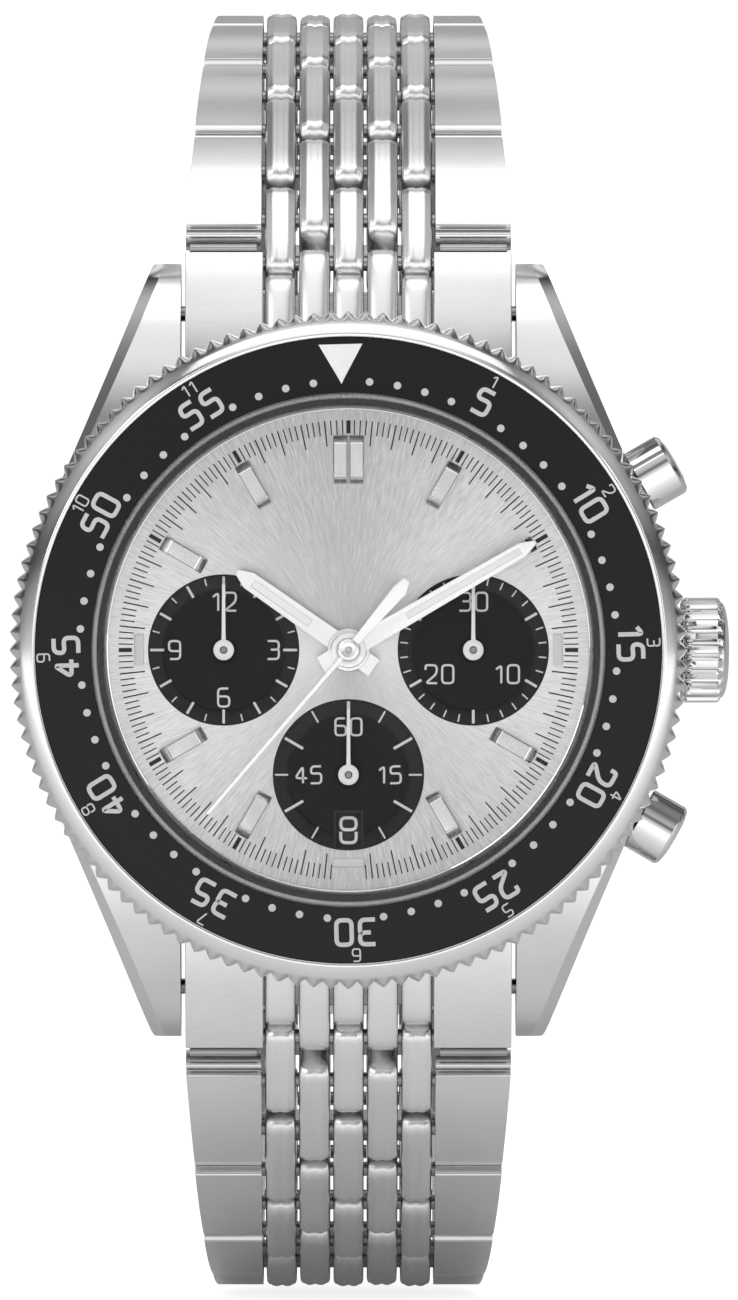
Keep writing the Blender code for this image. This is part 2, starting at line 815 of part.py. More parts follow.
def end_link(name, parent, sign):
    """Fills the space between the lugs and carries the bracelet's first pin."""
    half = outer_half_width
    inner_reach = math.degrees(math.asin(half / (strap_arc_radius + gap)))
    slot_floor = first_pin_up - 1.7
    tab_end = first_pin_up + 0.9
    block_end = first_pin_up + 0.7
    bead = bead_width / 2
    outline = [(half, block_end), (block_inner, block_end), (block_inner, slot_floor),
               (column_pitch + bead, slot_floor), (column_pitch + bead, tab_end),
               (column_pitch - bead, tab_end), (column_pitch - bead, slot_floor)]
    outline = outline + [(-x, up) for x, up in reversed(outline)]
    outline = outline + arc(strap_arc_radius + gap, -inner_reach, inner_reach, 8)
    top = first_pin_depth + top_rise
    side = [(17, top + 2.6), (20.4, top + 1.8), (22.8, top + 0.8), (25.2, top - 0.3),
            (25.2, 4.3), (24.8, 4.2), (24.5, 3.3), (22.8, 2.4), (20, 2.0), (17, 2.0)]
    link = common(slab(outline, 0, 12), bar(side, -20, 20))
    pin = cross_rod(pin_radius, first_pin_up, first_pin_depth,
                    -block_inner - 1, block_inner + 1, pin_sides)
    link = fused(link, pin)
    tip = lug_gap / 2 + 1.2
    for low, high in ((half - 1, tip), (-tip, 1 - half)):
        ends = cross_rod(spring_bar_radius, spring_bar_up, spring_bar_depth, low, high, 8)
        link = fused(link, ends)
    turn = Matrix.Rotation(math.pi, 4, "Y") if sign < 0 else None
    piece(name, link, steel, parent, turn=turn)


# ---- clasp: arcs about a centre far in front of the clasp, so that it is gently curved

class ClaspArc:
    """Where the clasp's layers and hinges lie."""

    def __init__(self):
        end = row_pins()[-1]
        lean = math.radians(180 - clasp_tilt)
        self.pin = end
        self.radius = end.x / math.sin(lean)
        self.centre = end.y + self.radius * math.cos(lean)
        self.fold_up = end.x - cover_low_inset - cover_cap - knuckle_radius - running
        self.inner_blade = (-blade_inside, blade_thickness - blade_inside)
        self.outer_blade = (0.1, 0.1 + blade_thickness + 0.2)
        self.cover = (self.outer_blade[1] + gap, self.outer_blade[1] + gap + cover_thickness)

    def point(self, up, out):
        """(up, depth) of a point that lies out from the pins' arc; out is away from the wrist."""
        angle = math.asin(up / self.radius)
        reach = self.radius + out
        return (reach * math.sin(angle), self.centre - reach * math.cos(angle))

    def band(self, low, high, layer, steps=8):
        ups = [low + (high - low) * step / steps for step in range(steps + 1)]
        outside = [self.point(up, layer[1]) for up in ups]
        inside = [self.point(up, layer[0]) for up in reversed(ups)]
        return outside + inside


def knuckles(places, up, depth, radius):
    """Barrels of a hinge, as (low, high) stretches along x."""
    return [cross_rod(radius, up, depth, low, high) for low, high in places]


def clasp(parent):
    lie = ClaspArc()
    half = knuckle_half_width
    outer_pair = ((half + gap, blade_half_width - 0.6), (0.6 - blade_half_width, -half - gap))
    fold = lie.point(-lie.fold_up, 0)
    lift = lie.point(lie.fold_up + 1, 0.95)

    plate = bar(lie.band(-lie.fold_up, lie.pin.x - blade_high_inset, lie.inner_blade),
                -blade_half_width, blade_half_width)
    plate = fused(plate, *knuckles([(-half, half)], *fold, knuckle_radius))
    root = lie.pin.x - finger_root_inset
    fingers = [lie.point(root, -blade_inside), lie.point(root, 0.5),
               lie.point(lie.pin.x - 0.4, 0.9), lie.point(lie.pin.x + 0.8, 0.5),
               lie.point(lie.pin.x + 0.8, -0.5), lie.point(lie.pin.x - 0.4, -blade_inside)]
    plate = fused(plate, *columns((-2, 0, 2), fingers))
    plate = cut(plate, cross_rod(pin_bore, *lie.pin, -10, 10, pin_sides))
    plate = cut(plate, cross_rod(hinge_pin_radius + running, *fold, -10, 10, 8))
    for low, high in outer_pair:
        plate = cut(plate, cross_rod(knuckle_radius + gap, *fold, low - gap, high + gap))
    piece("clasp_inner_blade", plate, polished, parent, origin=(0, *lie.pin))

    plate = bar(lie.band(-lie.fold_up, lie.fold_up + 1, lie.outer_blade),
                -blade_half_width, blade_half_width)
    plate = cut(plate, cross_rod(knuckle_radius + gap, *fold, -half - gap, half + gap))
    for low, high in outer_pair:
        plate = cut(plate, cross_rod(knuckle_radius + gap, *lift, low - gap, high + gap))
    plate = fused(plate, *knuckles(outer_pair, *fold, knuckle_radius))
    plate = fused(plate, *knuckles([(-half, half)], *lift, knuckle_radius))
    plate = fused(plate, cross_rod(hinge_pin_radius, *fold, -half - 1, half + 1, 8))
    plate = cut(plate, cross_rod(hinge_pin_radius + running, *lift, -half - gap, half + gap, 8))
    middle = (lie.outer_blade[0] + lie.outer_blade[1]) / 2
    latch = lie.point(0, middle)
    for side in (1, -1):
        hole = sorted((side * 4.2, side * 10))
        plate = cut(plate, cross_rod(latch_pin_radius + running, *latch, *hole, 10))
    piece("clasp_outer_blade", plate, polished, parent, origin=(0, *fold))

    cover_low = cover_low_inset - lie.pin.x
    cover_high = lie.pin.x - cover_high_inset
    outer = clasp_half_width + flange_thickness
    plate = bar(lie.band(cover_low, cover_high, (-0.7, lie.cover[1])), -outer, outer)
    trough = bar(lie.band(cover_low + cover_cap, cover_high + 2, (-3, lie.cover[0])),
                 -clasp_half_width, clasp_half_width)
    notch_end = button_half_length + 0.4
    notches = bar(lie.band(-notch_end, notch_end, (-4, lie.outer_blade[1] + 0.1)),
                  -outer - 1, outer + 1)
    plate = cut(plate, trough, notches)
    finger = lie.band(pin_radius + gap - lie.pin.x, cover_low + 0.5, (-0.9, 0.9), 1)
    plate = fused(plate, *columns((-2, 0, 2), finger))
    plate = cut(plate, cross_rod(knuckle_radius + gap, *lift, -half - gap, half + gap))
    plate = fused(plate, *knuckles(outer_pair, *lift, knuckle_radius))
    plate = fused(plate, cross_rod(hinge_pin_radius, *lift, -half - 1, half + 1, 8))
    piece("clasp_cover", plate, polished, parent, origin=(0, *lift))

    for name, side in (("clasp_button_right", 1), ("clasp_button_left", -1)):
        inside = blade_half_width + button_stroke + 0.2
        outside = outer + button_stroke + 0.1
        cap = bar(lie.band(-button_half_length, button_half_length,
                           (-0.2, lie.outer_blade[1] - 0.1), 2),
                  *sorted((side * inside, side * outside)))
        pin = cross_rod(latch_pin_radius, *latch, *sorted((side * 5.0, side * (inside + 0.4))), 10)
        origin = (side * inside, *latch)
        piece(name, fused(cap, pin), polished, parent, origin=origin)


# ---- build

def main():
    for thing in list(bpy.data.objects):
        bpy.data.objects.remove(thing)
    head = frame_empty("head")
    bracelet = frame_empty("bracelet")
    case_middle(head)
    case_back(head)
    bezel(head)
    crystal(head)
    inner_flange(head)
    dial(head)
    date_disc(head)
    time_hands(head)
    chrono_hand(head)
    counter_hands(head)
    main_plate(head)
    movement_bridge(head)
    barrel(head)
    balance(head)
    rotor(head)
    stem_and_crown(head)
    pushers(head)
    end_link("end_link_upper", bracelet, 1)
    end_link("end_link_lower", bracelet, -1)
    for side in ("upper", "lower"):
        bracelet_half(side, bracelet)
    clasp(bracelet)


main()
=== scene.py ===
import json
import math

import bmesh
import bpy
from mathutils import Matrix, Vector


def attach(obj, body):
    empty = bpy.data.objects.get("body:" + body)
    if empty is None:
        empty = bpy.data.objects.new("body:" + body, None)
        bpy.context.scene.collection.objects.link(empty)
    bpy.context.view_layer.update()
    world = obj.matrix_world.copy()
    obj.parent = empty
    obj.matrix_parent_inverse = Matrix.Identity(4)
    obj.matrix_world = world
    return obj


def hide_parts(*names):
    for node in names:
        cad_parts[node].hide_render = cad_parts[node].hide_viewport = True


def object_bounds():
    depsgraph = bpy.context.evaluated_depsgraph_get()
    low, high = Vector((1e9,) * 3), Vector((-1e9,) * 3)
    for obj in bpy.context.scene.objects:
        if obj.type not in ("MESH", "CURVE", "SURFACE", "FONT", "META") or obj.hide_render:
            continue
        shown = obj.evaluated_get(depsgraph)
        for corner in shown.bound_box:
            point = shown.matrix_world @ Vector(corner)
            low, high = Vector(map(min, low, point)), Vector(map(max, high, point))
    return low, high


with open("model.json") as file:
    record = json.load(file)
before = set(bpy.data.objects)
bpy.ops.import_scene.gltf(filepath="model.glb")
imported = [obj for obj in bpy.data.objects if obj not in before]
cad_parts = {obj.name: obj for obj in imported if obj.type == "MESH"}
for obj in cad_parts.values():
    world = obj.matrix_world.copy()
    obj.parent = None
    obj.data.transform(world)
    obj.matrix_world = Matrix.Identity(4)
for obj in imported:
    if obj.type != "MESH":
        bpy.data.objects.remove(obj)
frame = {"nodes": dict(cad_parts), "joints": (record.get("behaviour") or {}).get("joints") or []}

# A steel chronograph wristwatch on a beads-of-rice bracelet.
# Shapes are drawn in millimetres as (x, up, depth): x to the crown, up to twelve,
# depth from the case back forwards. toWorld turns them into the frame's metres.

cadLow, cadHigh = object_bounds()
toWorld = Matrix.Rotation(math.radians(90), 4, "X") @ Matrix.Scale(0.001, 4)
joints = {joint["name"]: joint for joint in frame["joints"]}


def watchPlace(worldPoint):
    x, y, z = worldPoint
    return Vector((x, z, -y)) * 1000


# Mesh helpers

# Faces between two rows of points; look is one material number, or one for each face
def strip(mesh, here, there, closed, look):
    count = len(here)
    for index in range(count if closed else count - 1):
        after = (index + 1) % count
        corners = []
        for vert in (here[index], here[after], there[after], there[index]):
            if vert not in corners:
                corners.append(vert)
        if len(corners) > 2:
            mesh.faces.new(corners).material_index = look[index] if isinstance(look, list) else look


# Joins a row of outlines with the same number of points
def loft(mesh, sections, closed=True, capped=True, look=0):
    rings = [[mesh.verts.new(point) for point in section] for section in sections]
    for here, there in zip(rings, rings[1:]):
        strip(mesh, here, there, closed, look)
    if capped:
        for ring in (rings[0], rings[-1]):
            mesh.faces.new(ring).material_index = look
    return rings


# Turns a (radius, depth) outline about the depth axis
def lathe(mesh, profile, steps, closed=True, place=None, radiusAt=None, look=0):
    rings = []
    for step in range(steps):
        angle = 2 * math.pi * step / steps
        ring = []
        for index, (radius, depth) in enumerate(profile):
            if radius == 0 and step:
                ring.append(rings[0][index])
                continue
            reach = radiusAt(index, step, radius) if radiusAt else radius
            point = Vector((reach * math.sin(angle), reach * math.cos(angle), depth))
            ring.append(mesh.verts.new(place @ point if place else point))
        rings.append(ring)
    for step in range(steps):
        strip(mesh, rings[step], rings[(step + 1) % steps], closed, look)


# An (x, up) outline between two depths
def prism(mesh, outline, low, high, place=None, look=0):
    place = place or Matrix.Identity(4)
    loft(mesh, [[place @ Vector((x, up, depth)) for x, up in outline] for depth in (low, high)], look=look)


# An (up, depth) outline between two x places
def crossBar(mesh, outline, low, high, place=None, look=0):
    place = place or Matrix.Identity(4)
    loft(mesh, [[place @ Vector((x, up, depth)) for up, depth in outline] for x in (low, high)], look=look)


# A new mesh turned from one outline
def lathed(profile, steps, **more):
    mesh = bmesh.new()
    lathe(mesh, profile, steps, **more)
    return mesh


# A new mesh drawn out from one outline
def extruded(outline, low, high, place=None):
    mesh = bmesh.new()
    prism(mesh, outline, low, high, place)
    return mesh


# A plain cylinder, to join to a piece or to cut from it
def cylinder(radius, low, high, steps, place=None):
    return lathed([(0, low), (radius, low), (radius, high), (0, high)], steps, place=place)


def box(x, up):
    return [(x[0], up[0]), (x[1], up[0]), (x[1], up[1]), (x[0], up[1])]


# Points on a circle, in degrees clockwise from twelve
def arc(radius, start, end, steps):
    angles = [math.radians(start + (end - start) * step / steps) for step in range(steps + 1)]
    return [(radius * math.sin(angle), radius * math.cos(angle)) for angle in angles]


# Turns clockwise as seen from the front, about a point's own depth axis
def turned(angle, x=0, up=0, depth=0):
    return Matrix.Translation((x, up, depth)) @ Matrix.Rotation(-math.radians(angle), 4, "Z")


def between(low, high, share):
    return low + (high - low) * share


# Finishes a mesh as one piece of the watch; edge is its rounding in millimetres
def watchPiece(name, mesh, looks, body, nodes=(),
               edge=0, edgeAngle=40, sharp=35, smooth=True):
    bmesh.ops.recalc_face_normals(mesh, faces=mesh.faces)
    data = bpy.data.meshes.new(name)
    mesh.to_mesh(data)
    mesh.free()
    data.transform(toWorld)
    for look in looks if isinstance(looks, (list, tuple)) else [looks]:
        data.materials.append(look)
    if smooth:
        data.shade_smooth()
        data.set_sharp_from_angle(angle=math.radians(sharp))
    else:
        data.shade_flat()
    piece = bpy.data.objects.new(name, data)
    bpy.context.scene.collection.objects.link(piece)
    if edge:
        softened = piece.modifiers.new("softened edges", "BEVEL")
        softened.width = edge * 0.001
        softened.segments = 2
        softened.limit_method = "ANGLE"
        softened.angle_limit = math.radians(edgeAngle)
        softened.harden_normals = True
        softened.use_clamp_overlap = True
    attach(piece, body)
    if nodes:
        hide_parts(*nodes)
    return piece


# Shader helpers

# A node with its values, and the sockets that feed it
def addNode(tree, kind, feeds=None, **values):
    node = tree.nodes.new(kind)
    for key, value in values.items():
        if key in node.inputs:
            node.inputs[key].default_value = value
        else:
            setattr(node, key, value)
    for key, source in (feeds or {}).items():
        tree.links.new(source, node.inputs[key])
    return node


def newGroup(name, inputs, outputs):
    group = bpy.data.node_groups.new(name, "ShaderNodeTree")
    for label, kind, value in inputs:
        socket = group.interface.new_socket(label, in_out="INPUT", socket_type=kind)
        socket.default_value = value
    for label, kind in outputs:
        group.interface.new_socket(label, in_out="OUTPUT", socket_type=kind)
    return group, group.nodes.new("NodeGroupInput"), group.nodes.new("NodeGroupOutput")


# Brushed streaks and slow cloudy patches, from the watch's own coordinates
def grainGroup():
    group, given, result = newGroup(
        "brushed grain",
        [("Stretch", "NodeSocketVector", (1, 1, 1)), ("Scale", "NodeSocketFloat", 1)],
        [("Streaks", "NodeSocketFloat"), ("Clouds", "NodeSocketFloat")])
    place = addNode(group, "ShaderNodeTexCoord").outputs["Object"]
    stretch = addNode(group, "ShaderNodeVectorMath", {0: place, 1: given.outputs["Stretch"]},
                      operation="MULTIPLY")
    streaks = addNode(
        group, "ShaderNodeTexNoise", {"Vector": stretch.outputs[0], "Scale": given.outputs["Scale"]},
        Detail=3.0, Roughness=0.6)
    clouds = addNode(group, "ShaderNodeTexNoise", {"Vector": place}, Scale=260.0, Detail=2.0)
    group.links.new(streaks.outputs["Fac"], result.inputs["Streaks"])
    group.links.new(clouds.outputs["Fac"], result.inputs["Clouds"])
    return group


# Fine rays from the middle of the dial, and the angle round it
def sunrayGroup():
    group, given, result = newGroup(
        "sunray",
        [("Rays", "NodeSocketFloat", 160.0)],
        [("Rays", "NodeSocketFloat"), ("Angle", "NodeSocketFloat")])
    place = addNode(group, "ShaderNodeTexCoord")
    parts = addNode(group, "ShaderNodeSeparateXYZ", {0: place.outputs["Object"]})
    across = parts.outputs["X"]
    up = parts.outputs["Z"]
    angle = addNode(group, "ShaderNodeMath", {0: across, 1: up}, operation="ARCTAN2")
    flat = addNode(group, "ShaderNodeCombineXYZ", {0: across, 1: up}).outputs[0]
    radius = addNode(group, "ShaderNodeVectorMath", {0: flat}, operation="LENGTH")
    direction = addNode(group, "ShaderNodeVectorMath", {0: flat}, operation="NORMALIZE")
    feeds = {0: direction.outputs[0], "Scale": given.outputs["Rays"]}
    spread = addNode(group, "ShaderNodeVectorMath", feeds, operation="SCALE")
    along = addNode(group, "ShaderNodeMath", {0: radius.outputs["Value"]}, operation="MULTIPLY")
    along.inputs[1].default_value = 900      # how often a ray changes on its way out
    slow = addNode(group, "ShaderNodeCombineXYZ", {2: along.outputs[0]})
    together = addNode(group, "ShaderNodeVectorMath", {0: spread.outputs[0], 1: slow.outputs[0]},
                       operation="ADD")
    rays = addNode(
        group, "ShaderNodeTexNoise", {"Vector": together.outputs[0]}, Scale=1.0, Detail=4.0, Roughness=0.7)
    group.links.new(rays.outputs["Fac"], result.inputs["Rays"])
    group.links.new(angle.outputs[0], result.inputs["Angle"])
    return group


# Where edges stand out, for a slightly brighter and smoother rim
def wearGroup():
    group, given, result = newGroup(
        "edge wear", [("Strength", "NodeSocketFloat", 1.0)], [("Edge", "NodeSocketFloat")])
    geometry = addNode(group, "ShaderNodeNewGeometry")
    ramp = addNode(group, "ShaderNodeMapRange", {"Value": geometry.outputs["Pointiness"]})
    ramp.inputs["From Min"].default_value = 0.52
    ramp.inputs["From Max"].default_value = 0.62
    feeds = {0: ramp.outputs["Result"], 1: given.outputs["Strength"]}
    scaled = addNode(group, "ShaderNodeMath", feeds, operation="MULTIPLY")
    group.links.new(scaled.outputs[0], result.inputs["Edge"])
    return group


grain = grainGroup()
sunray = sunrayGroup()
wear = wearGroup()


# One number is a grey, of which steel has a slightly cooler one
def shaded(tone):
    return tone if isinstance(tone, tuple) else (tone, tone, tone)


def cool(tone):
    return tone, tone + 0.005, tone + 0.01


def baseMaterial(name, colour, metallic, roughness, **sockets):
    material = bpy.data.materials.new(name)
    material.use_nodes = True
    shader = material.node_tree.nodes["Principled BSDF"]
    shader.inputs["Base Color"].default_value = (*shaded(colour), 1)
    shader.inputs["Metallic"].default_value = metallic
    shader.inputs["Roughness"].default_value = roughness
    for label, value in sockets.items():
        shader.inputs[label.replace("_", " ")].default_value = value
    return material, material.node_tree, shader


def placeGroup(tree, group, **values):
    node = addNode(tree, "ShaderNodeGroup", node_tree=group)
    for label, value in values.items():
        node.inputs[label].default_value = value
    return node


# Maps a mask to a range of values
def spanned(tree, source, low, high, fromLow=0.3, fromHigh=0.7):
    span = addNode(tree, "ShaderNodeMapRange", {"Value": source})
    for label, value in (("From Min", fromLow), ("From Max", fromHigh), ("To Min", low), ("To Max", high)):
        span.inputs[label].default_value = value
    return span.outputs["Result"]


# Mixes two colours by a mask into a colour socket
def tinted(tree, mask, dark, light, target):
    mix = addNode(tree, "ShaderNodeMix", data_type="RGBA")
    tree.links.new(mask, mix.inputs[0])
    for socket, value in ((mix.inputs[6], dark), (mix.inputs[7], light)):
        socket.default_value = (*shaded(value), 1)
    tree.links.new(mix.outputs[2], target)


def bumped(tree, source, shader, strength, distance=0.00001):
    bump = addNode(tree, "ShaderNodeBump", {"Height": source}, Strength=strength, Distance=distance)
    tree.links.new(bump.outputs["Normal"], shader.inputs["Normal"])


# Metal with brushed streaks in its colour, roughness and relief, and brighter edges
def steelMaterial(name, dark, light, smooth, rough, stretch=(1, 1, 1), bump=0.15, **sockets):
    material, tree, shader = baseMaterial(name, light, 1.0, rough, **sockets)
    streaks = placeGroup(tree, grain, Stretch=stretch, Scale=1.0)
    edges = placeGroup(tree, wear, Strength=0.8)
    tinted(tree, streaks.outputs["Clouds"], dark, light, shader.inputs["Base Color"])
    roughness = spanned(tree, streaks.outputs["Streaks"], smooth, rough)
    polished = addNode(tree, "ShaderNodeMix", data_type="FLOAT")
    tree.links.new(edges.outputs["Edge"], polished.inputs[0])
    tree.links.new(roughness, polished.inputs[2])
    polished.inputs[3].default_value = smooth * 0.6
    tree.links.new(polished.outputs[0], shader.inputs["Roughness"])
    if bump:
        bumped(tree, streaks.outputs["Streaks"], shader, bump)
    return material


# Finishes

brushAcross = (300, 9000, 9000)
brushUp = (9000, 300, 9000)


def evenly(size):
    return size, size, size


satinSteel = steelMaterial("satin steel", cool(0.66), cool(0.75), 0.22, 0.30, brushAcross, 0.06)
lugSteel = steelMaterial("brushed lug steel", cool(0.60), cool(0.70), 0.28, 0.40, brushUp, 0.25)
beadSteel = steelMaterial("bead steel", cool(0.70), cool(0.79), 0.27, 0.34, brushUp, 0.04)
polishedSteel = steelMaterial("polished steel", cool(0.70), cool(0.78), 0.05, 0.09, evenly(900), 0)
# Painted shade: a darker copy of steel for the webs, pins and bars under and between the links; its rougher
# finish is real, its darker colour stands in for the shade there
innerSteelPaintedShade = steelMaterial("inner steel, painted shade", cool(0.36), cool(0.46), 0.35, 0.5, evenly(3000), 0.2)
handSteel = steelMaterial("rhodium hands", 0.82, 0.92, 0.30, 0.42, evenly(9000), 0)


def insertMaterial():
    material, tree, shader = baseMaterial("black bezel insert", (0.012, 0.012, 0.013), 0.0, 0.30,
                                          Specular_IOR_Level=0.14)
    speck = placeGroup(tree, grain, Stretch=evenly(14000), Scale=1.0)
    tinted(tree, speck.outputs["Streaks"], (0.008, 0.008, 0.009), (0.020, 0.020, 0.021),
           shader.inputs["Base Color"])
    tree.links.new(spanned(tree, speck.outputs["Streaks"], 0.26, 0.36), shader.inputs["Roughness"])
    bumped(tree, speck.outputs["Streaks"], shader, 0.08)
    return material


def dialMaterial():
    material, tree, shader = baseMaterial("sunray dial", 0.62, 0.9, 0.34, Anisotropic=0.75)
    rays = placeGroup(tree, sunray, Rays=150.0)
    # Painted reflection: the angle round the dial paints the sunray's bow-tie sheen into the colour, on top
    # of the rays' own tone
    doubled = addNode(tree, "ShaderNodeMath", {0: rays.outputs["Angle"]}, operation="MULTIPLY")
    doubled.inputs[1].default_value = 2
    paintedSheen = addNode(tree, "ShaderNodeMath", {0: doubled.outputs[0]}, operation="COSINE")
    shade = addNode(
        tree, "ShaderNodeMath", {0: paintedSheen.outputs[0], 2: rays.outputs["Rays"]}, operation="MULTIPLY_ADD")
    shade.inputs[1].default_value = -0.16      # painted reflection: darker towards 12 and 6 and lighter towards 3 and 9, standing in for the sunray's bow-tie sheen
    ranged = spanned(tree, shade.outputs[0], 0.0, 1.0, 0.25, 0.75)
    tinted(tree, ranged, (0.46, 0.46, 0.465), 0.86, shader.inputs["Base Color"])
    tree.links.new(spanned(tree, rays.outputs["Rays"], 0.30, 0.40), shader.inputs["Roughness"])
    bumped(tree, rays.outputs["Rays"], shader, 0.20)
    around = addNode(tree, "ShaderNodeTangent", direction_type="RADIAL", axis="Y")
    tree.links.new(around.outputs["Tangent"], shader.inputs["Tangent"])
    return material


def speckledMaterial(name, dark, light, roughness, metallic=0.0, size=9000, bump=0.1, **sockets):
    material, tree, shader = baseMaterial(name, light, metallic, roughness, **sockets)
    speck = placeGroup(tree, grain, Stretch=evenly(size), Scale=1.0)
    tinted(tree, speck.outputs["Streaks"], dark, light, shader.inputs["Base Color"])
    tree.links.new(spanned(tree, speck.outputs["Streaks"], roughness * 0.85, roughness * 1.15),
                   shader.inputs["Roughness"])
    bumped(tree, speck.outputs["Streaks"], shader, bump)
    return material


def crystalMaterial():
    material, tree, shader = baseMaterial("clear crystal", 0.02, 0.0, 0.03, Alpha=0.05)
    rim = addNode(tree, "ShaderNodeLayerWeight", Blend=0.35)
    tree.links.new(spanned(tree, rim.outputs["Facing"], 0.02, 0.4, 0.2, 1.0), shader.inputs["Alpha"])
    return material


def stripedMaterial(name, dark, light, metallic=1.0):
    material, tree, shader = baseMaterial(name, light, metallic, 0.3)
    place = addNode(tree, "ShaderNodeTexCoord")
    stripes = addNode(tree, "ShaderNodeTexWave", Scale=170.0, Distortion=0.0, wave_profile="SAW",
                      bands_direction="X")
    tree.links.new(place.outputs["Object"], stripes.inputs["Vector"])
    streaks = placeGroup(tree, grain, Stretch=brushUp, Scale=1.0)
    tinted(tree, stripes.outputs["Fac"], dark, light, shader.inputs["Base Color"])
    tree.links.new(spanned(tree, streaks.outputs["Streaks"], 0.2, 0.36), shader.inputs["Roughness"])
    bumped(tree, stripes.outputs["Fac"], shader, 0.35, 0.00004)
    return material


blackInsert = insertMaterial()
sunrayDial = dialMaterial()
blackDial = speckledMaterial("black sub-dial", 0.004, 0.008, 0.34, size=6000, bump=0.03,
                             Specular_IOR_Level=0.2)
blackRing = speckledMaterial("black track", 0.008, 0.016, 0.30, size=6000, bump=0.03, Specular_IOR_Level=0.25)
blackPrint = speckledMaterial("black print", 0.006, 0.012, 0.5)
whitePrint = speckledMaterial("pale print", 0.60, 0.72, 0.5)
greyPrint = speckledMaterial("bezel marks", 0.44, 0.58, 0.55, size=12000, bump=0.3)
lume = speckledMaterial("luminous paint", (0.70, 0.70, 0.69), (0.86, 0.86, 0.85), 0.6, size=9000, bump=0.5)
whitePaint = speckledMaterial("white hand paint", 0.84, 0.92, 0.45, size=9000, bump=0.1)
clearCrystal = crystalMaterial()
striped = stripedMaterial("striped nickel", (0.40, 0.40, 0.39), (0.58, 0.58, 0.57))
gilt = steelMaterial("gilt brass", (0.55, 0.42, 0.20), (0.70, 0.56, 0.30), 0.22, 0.34, evenly(4000), 0.1)
nickel = steelMaterial("grained nickel", (0.45, 0.45, 0.44), (0.56, 0.56, 0.55), 0.30, 0.42, evenly(5000),
                       0.3)
print("finishes made")


# Bracelet

bracelet = {
    "column pitch": 2.13,      # between columns of beads
    "bead width": 1.92,
    "rise": 1.6,               # top of a link above its pins
    "drop": 1.3,               # underside below the pins
    "crown": 0.62,             # how far a bead's sides curve down
    "valley": 0.1,             # depth of the flute along a bead
    "end round": 0.8,
    "outer half width": 10.15,
    "clasp half width": 8.0,
    "taper": 0.5,              # loss of half width per outer link
    "pin radius": 0.5,
    "end gap": 0.35,           # between links of one column
    "block bow": 0.3,         # how much an outer link is bowed along its length
    "ledge": 0.42,             # step at the near end of an outer link
}

rowCount = 14
rowKinds = [("bead" if number % 2 == 0 else "outer") for number in range(rowCount)]
hingeNames = [f"upper_{kind}_hinge_{number // 2 + 1}" for number, kind in enumerate(rowKinds)]
pins = []
for name in hingeNames + ["clasp_blade_hinge"]:
    place = watchPlace(joints[name]["pos_m"])
    pins.append(Vector((place.y, place.z)))
blockInner = 2.5 * bracelet["column pitch"] + 0.115


# From a row's own (x, along, out) to the watch
def rowPlace(number, sign):
    step = pins[number + 1] - pins[number]
    tilt = math.atan2(-step.y, step.x)
    place = Matrix.Translation((0, pins[number].x, pins[number].y)) @ Matrix.Rotation(-tilt, 4, "X")
    if sign < 0:
        place = Matrix.Rotation(math.pi, 4, "Z") @ place
    return place, step.length


# A bead's outline across its length, with a flute in the middle and a slighter one at each side
def beadSection(half, top, bottom, valley, along, middle):
    points = []
    crown = bracelet["crown"]
    steps = 22
    for step in range(steps + 1):
        angle = math.radians(between(-90, 90, step / steps))
        side = math.copysign(abs(math.sin(angle)) ** 0.7, angle)
        lift = math.cos(angle) ** 0.6
        flute = math.exp(-(side / 0.2) ** 2) + 0.45 * math.exp(-((abs(side) - 0.72) / 0.13) ** 2)
        points.append(Vector((middle + side * half, along, top - crown * (1 - lift) - valley * flute)))
    corner = 0.2
    points.append(Vector((middle + half, along, bottom + corner)))
    points.append(Vector((middle + half - corner, along, bottom)))
    points.append(Vector((middle - half + corner, along, bottom)))
    points.append(Vector((middle - half, along, bottom + corner)))
    return points


# One bead from start to end along the row; near scales the rounding of its near end
def bead(mesh, column, start, end, place, near=1.0, look=0):
    half = bracelet["bead width"] / 2
    middle = column * bracelet["column pitch"]
    roundness = bracelet["end round"]
    sections = []
    stops = [0, 0.03, 0.1, 0.22, 0.4, 0.65, 1.0]
    places = [start + stop * roundness * near for stop in stops]
    places += [between(places[-1], end - roundness, share) for share in (0.25, 0.5, 0.75)]
    places += [end - stop * roundness for stop in reversed(stops)]
    centre = (start + end) / 2
    reach = (end - start) / 2
    for along in places:
        edge = min((along - start) / (roundness * near), (end - along) / roundness, 1.0)
        turn = math.sqrt(max(0.0, 1 - (1 - edge) ** 2))
        bow = 0.1 * ((along - centre) / reach) ** 2
        top = bracelet["rise"] - bow - (1 - turn) * 0.75
        bottom = (1 - turn) * 0.5 - bracelet["drop"]
        width = half * between(0.86, 1.0, turn)
        section = beadSection(width, top, bottom, bracelet["valley"], along, middle)
        sections.append([place @ point for point in section])
    loft(mesh, sections, look=look)


def pinRod(mesh, along, out, low, high, radius, place, look):
    ring = [(along + up, out + depth) for up, depth in arc(radius, 0, 360, 20)[:-1]]
    crossBar(mesh, ring, low, high, place, look)


# How far a row's links reach past its two pins; the first row ends short of the end link
def rowEnds(number, length):
    if number == 0:
        return 1.2, (pins[2] - pins[1]).length / 2 - bracelet["end gap"] / 2
    reach = (length - bracelet["end gap"]) / 2
    return reach, reach


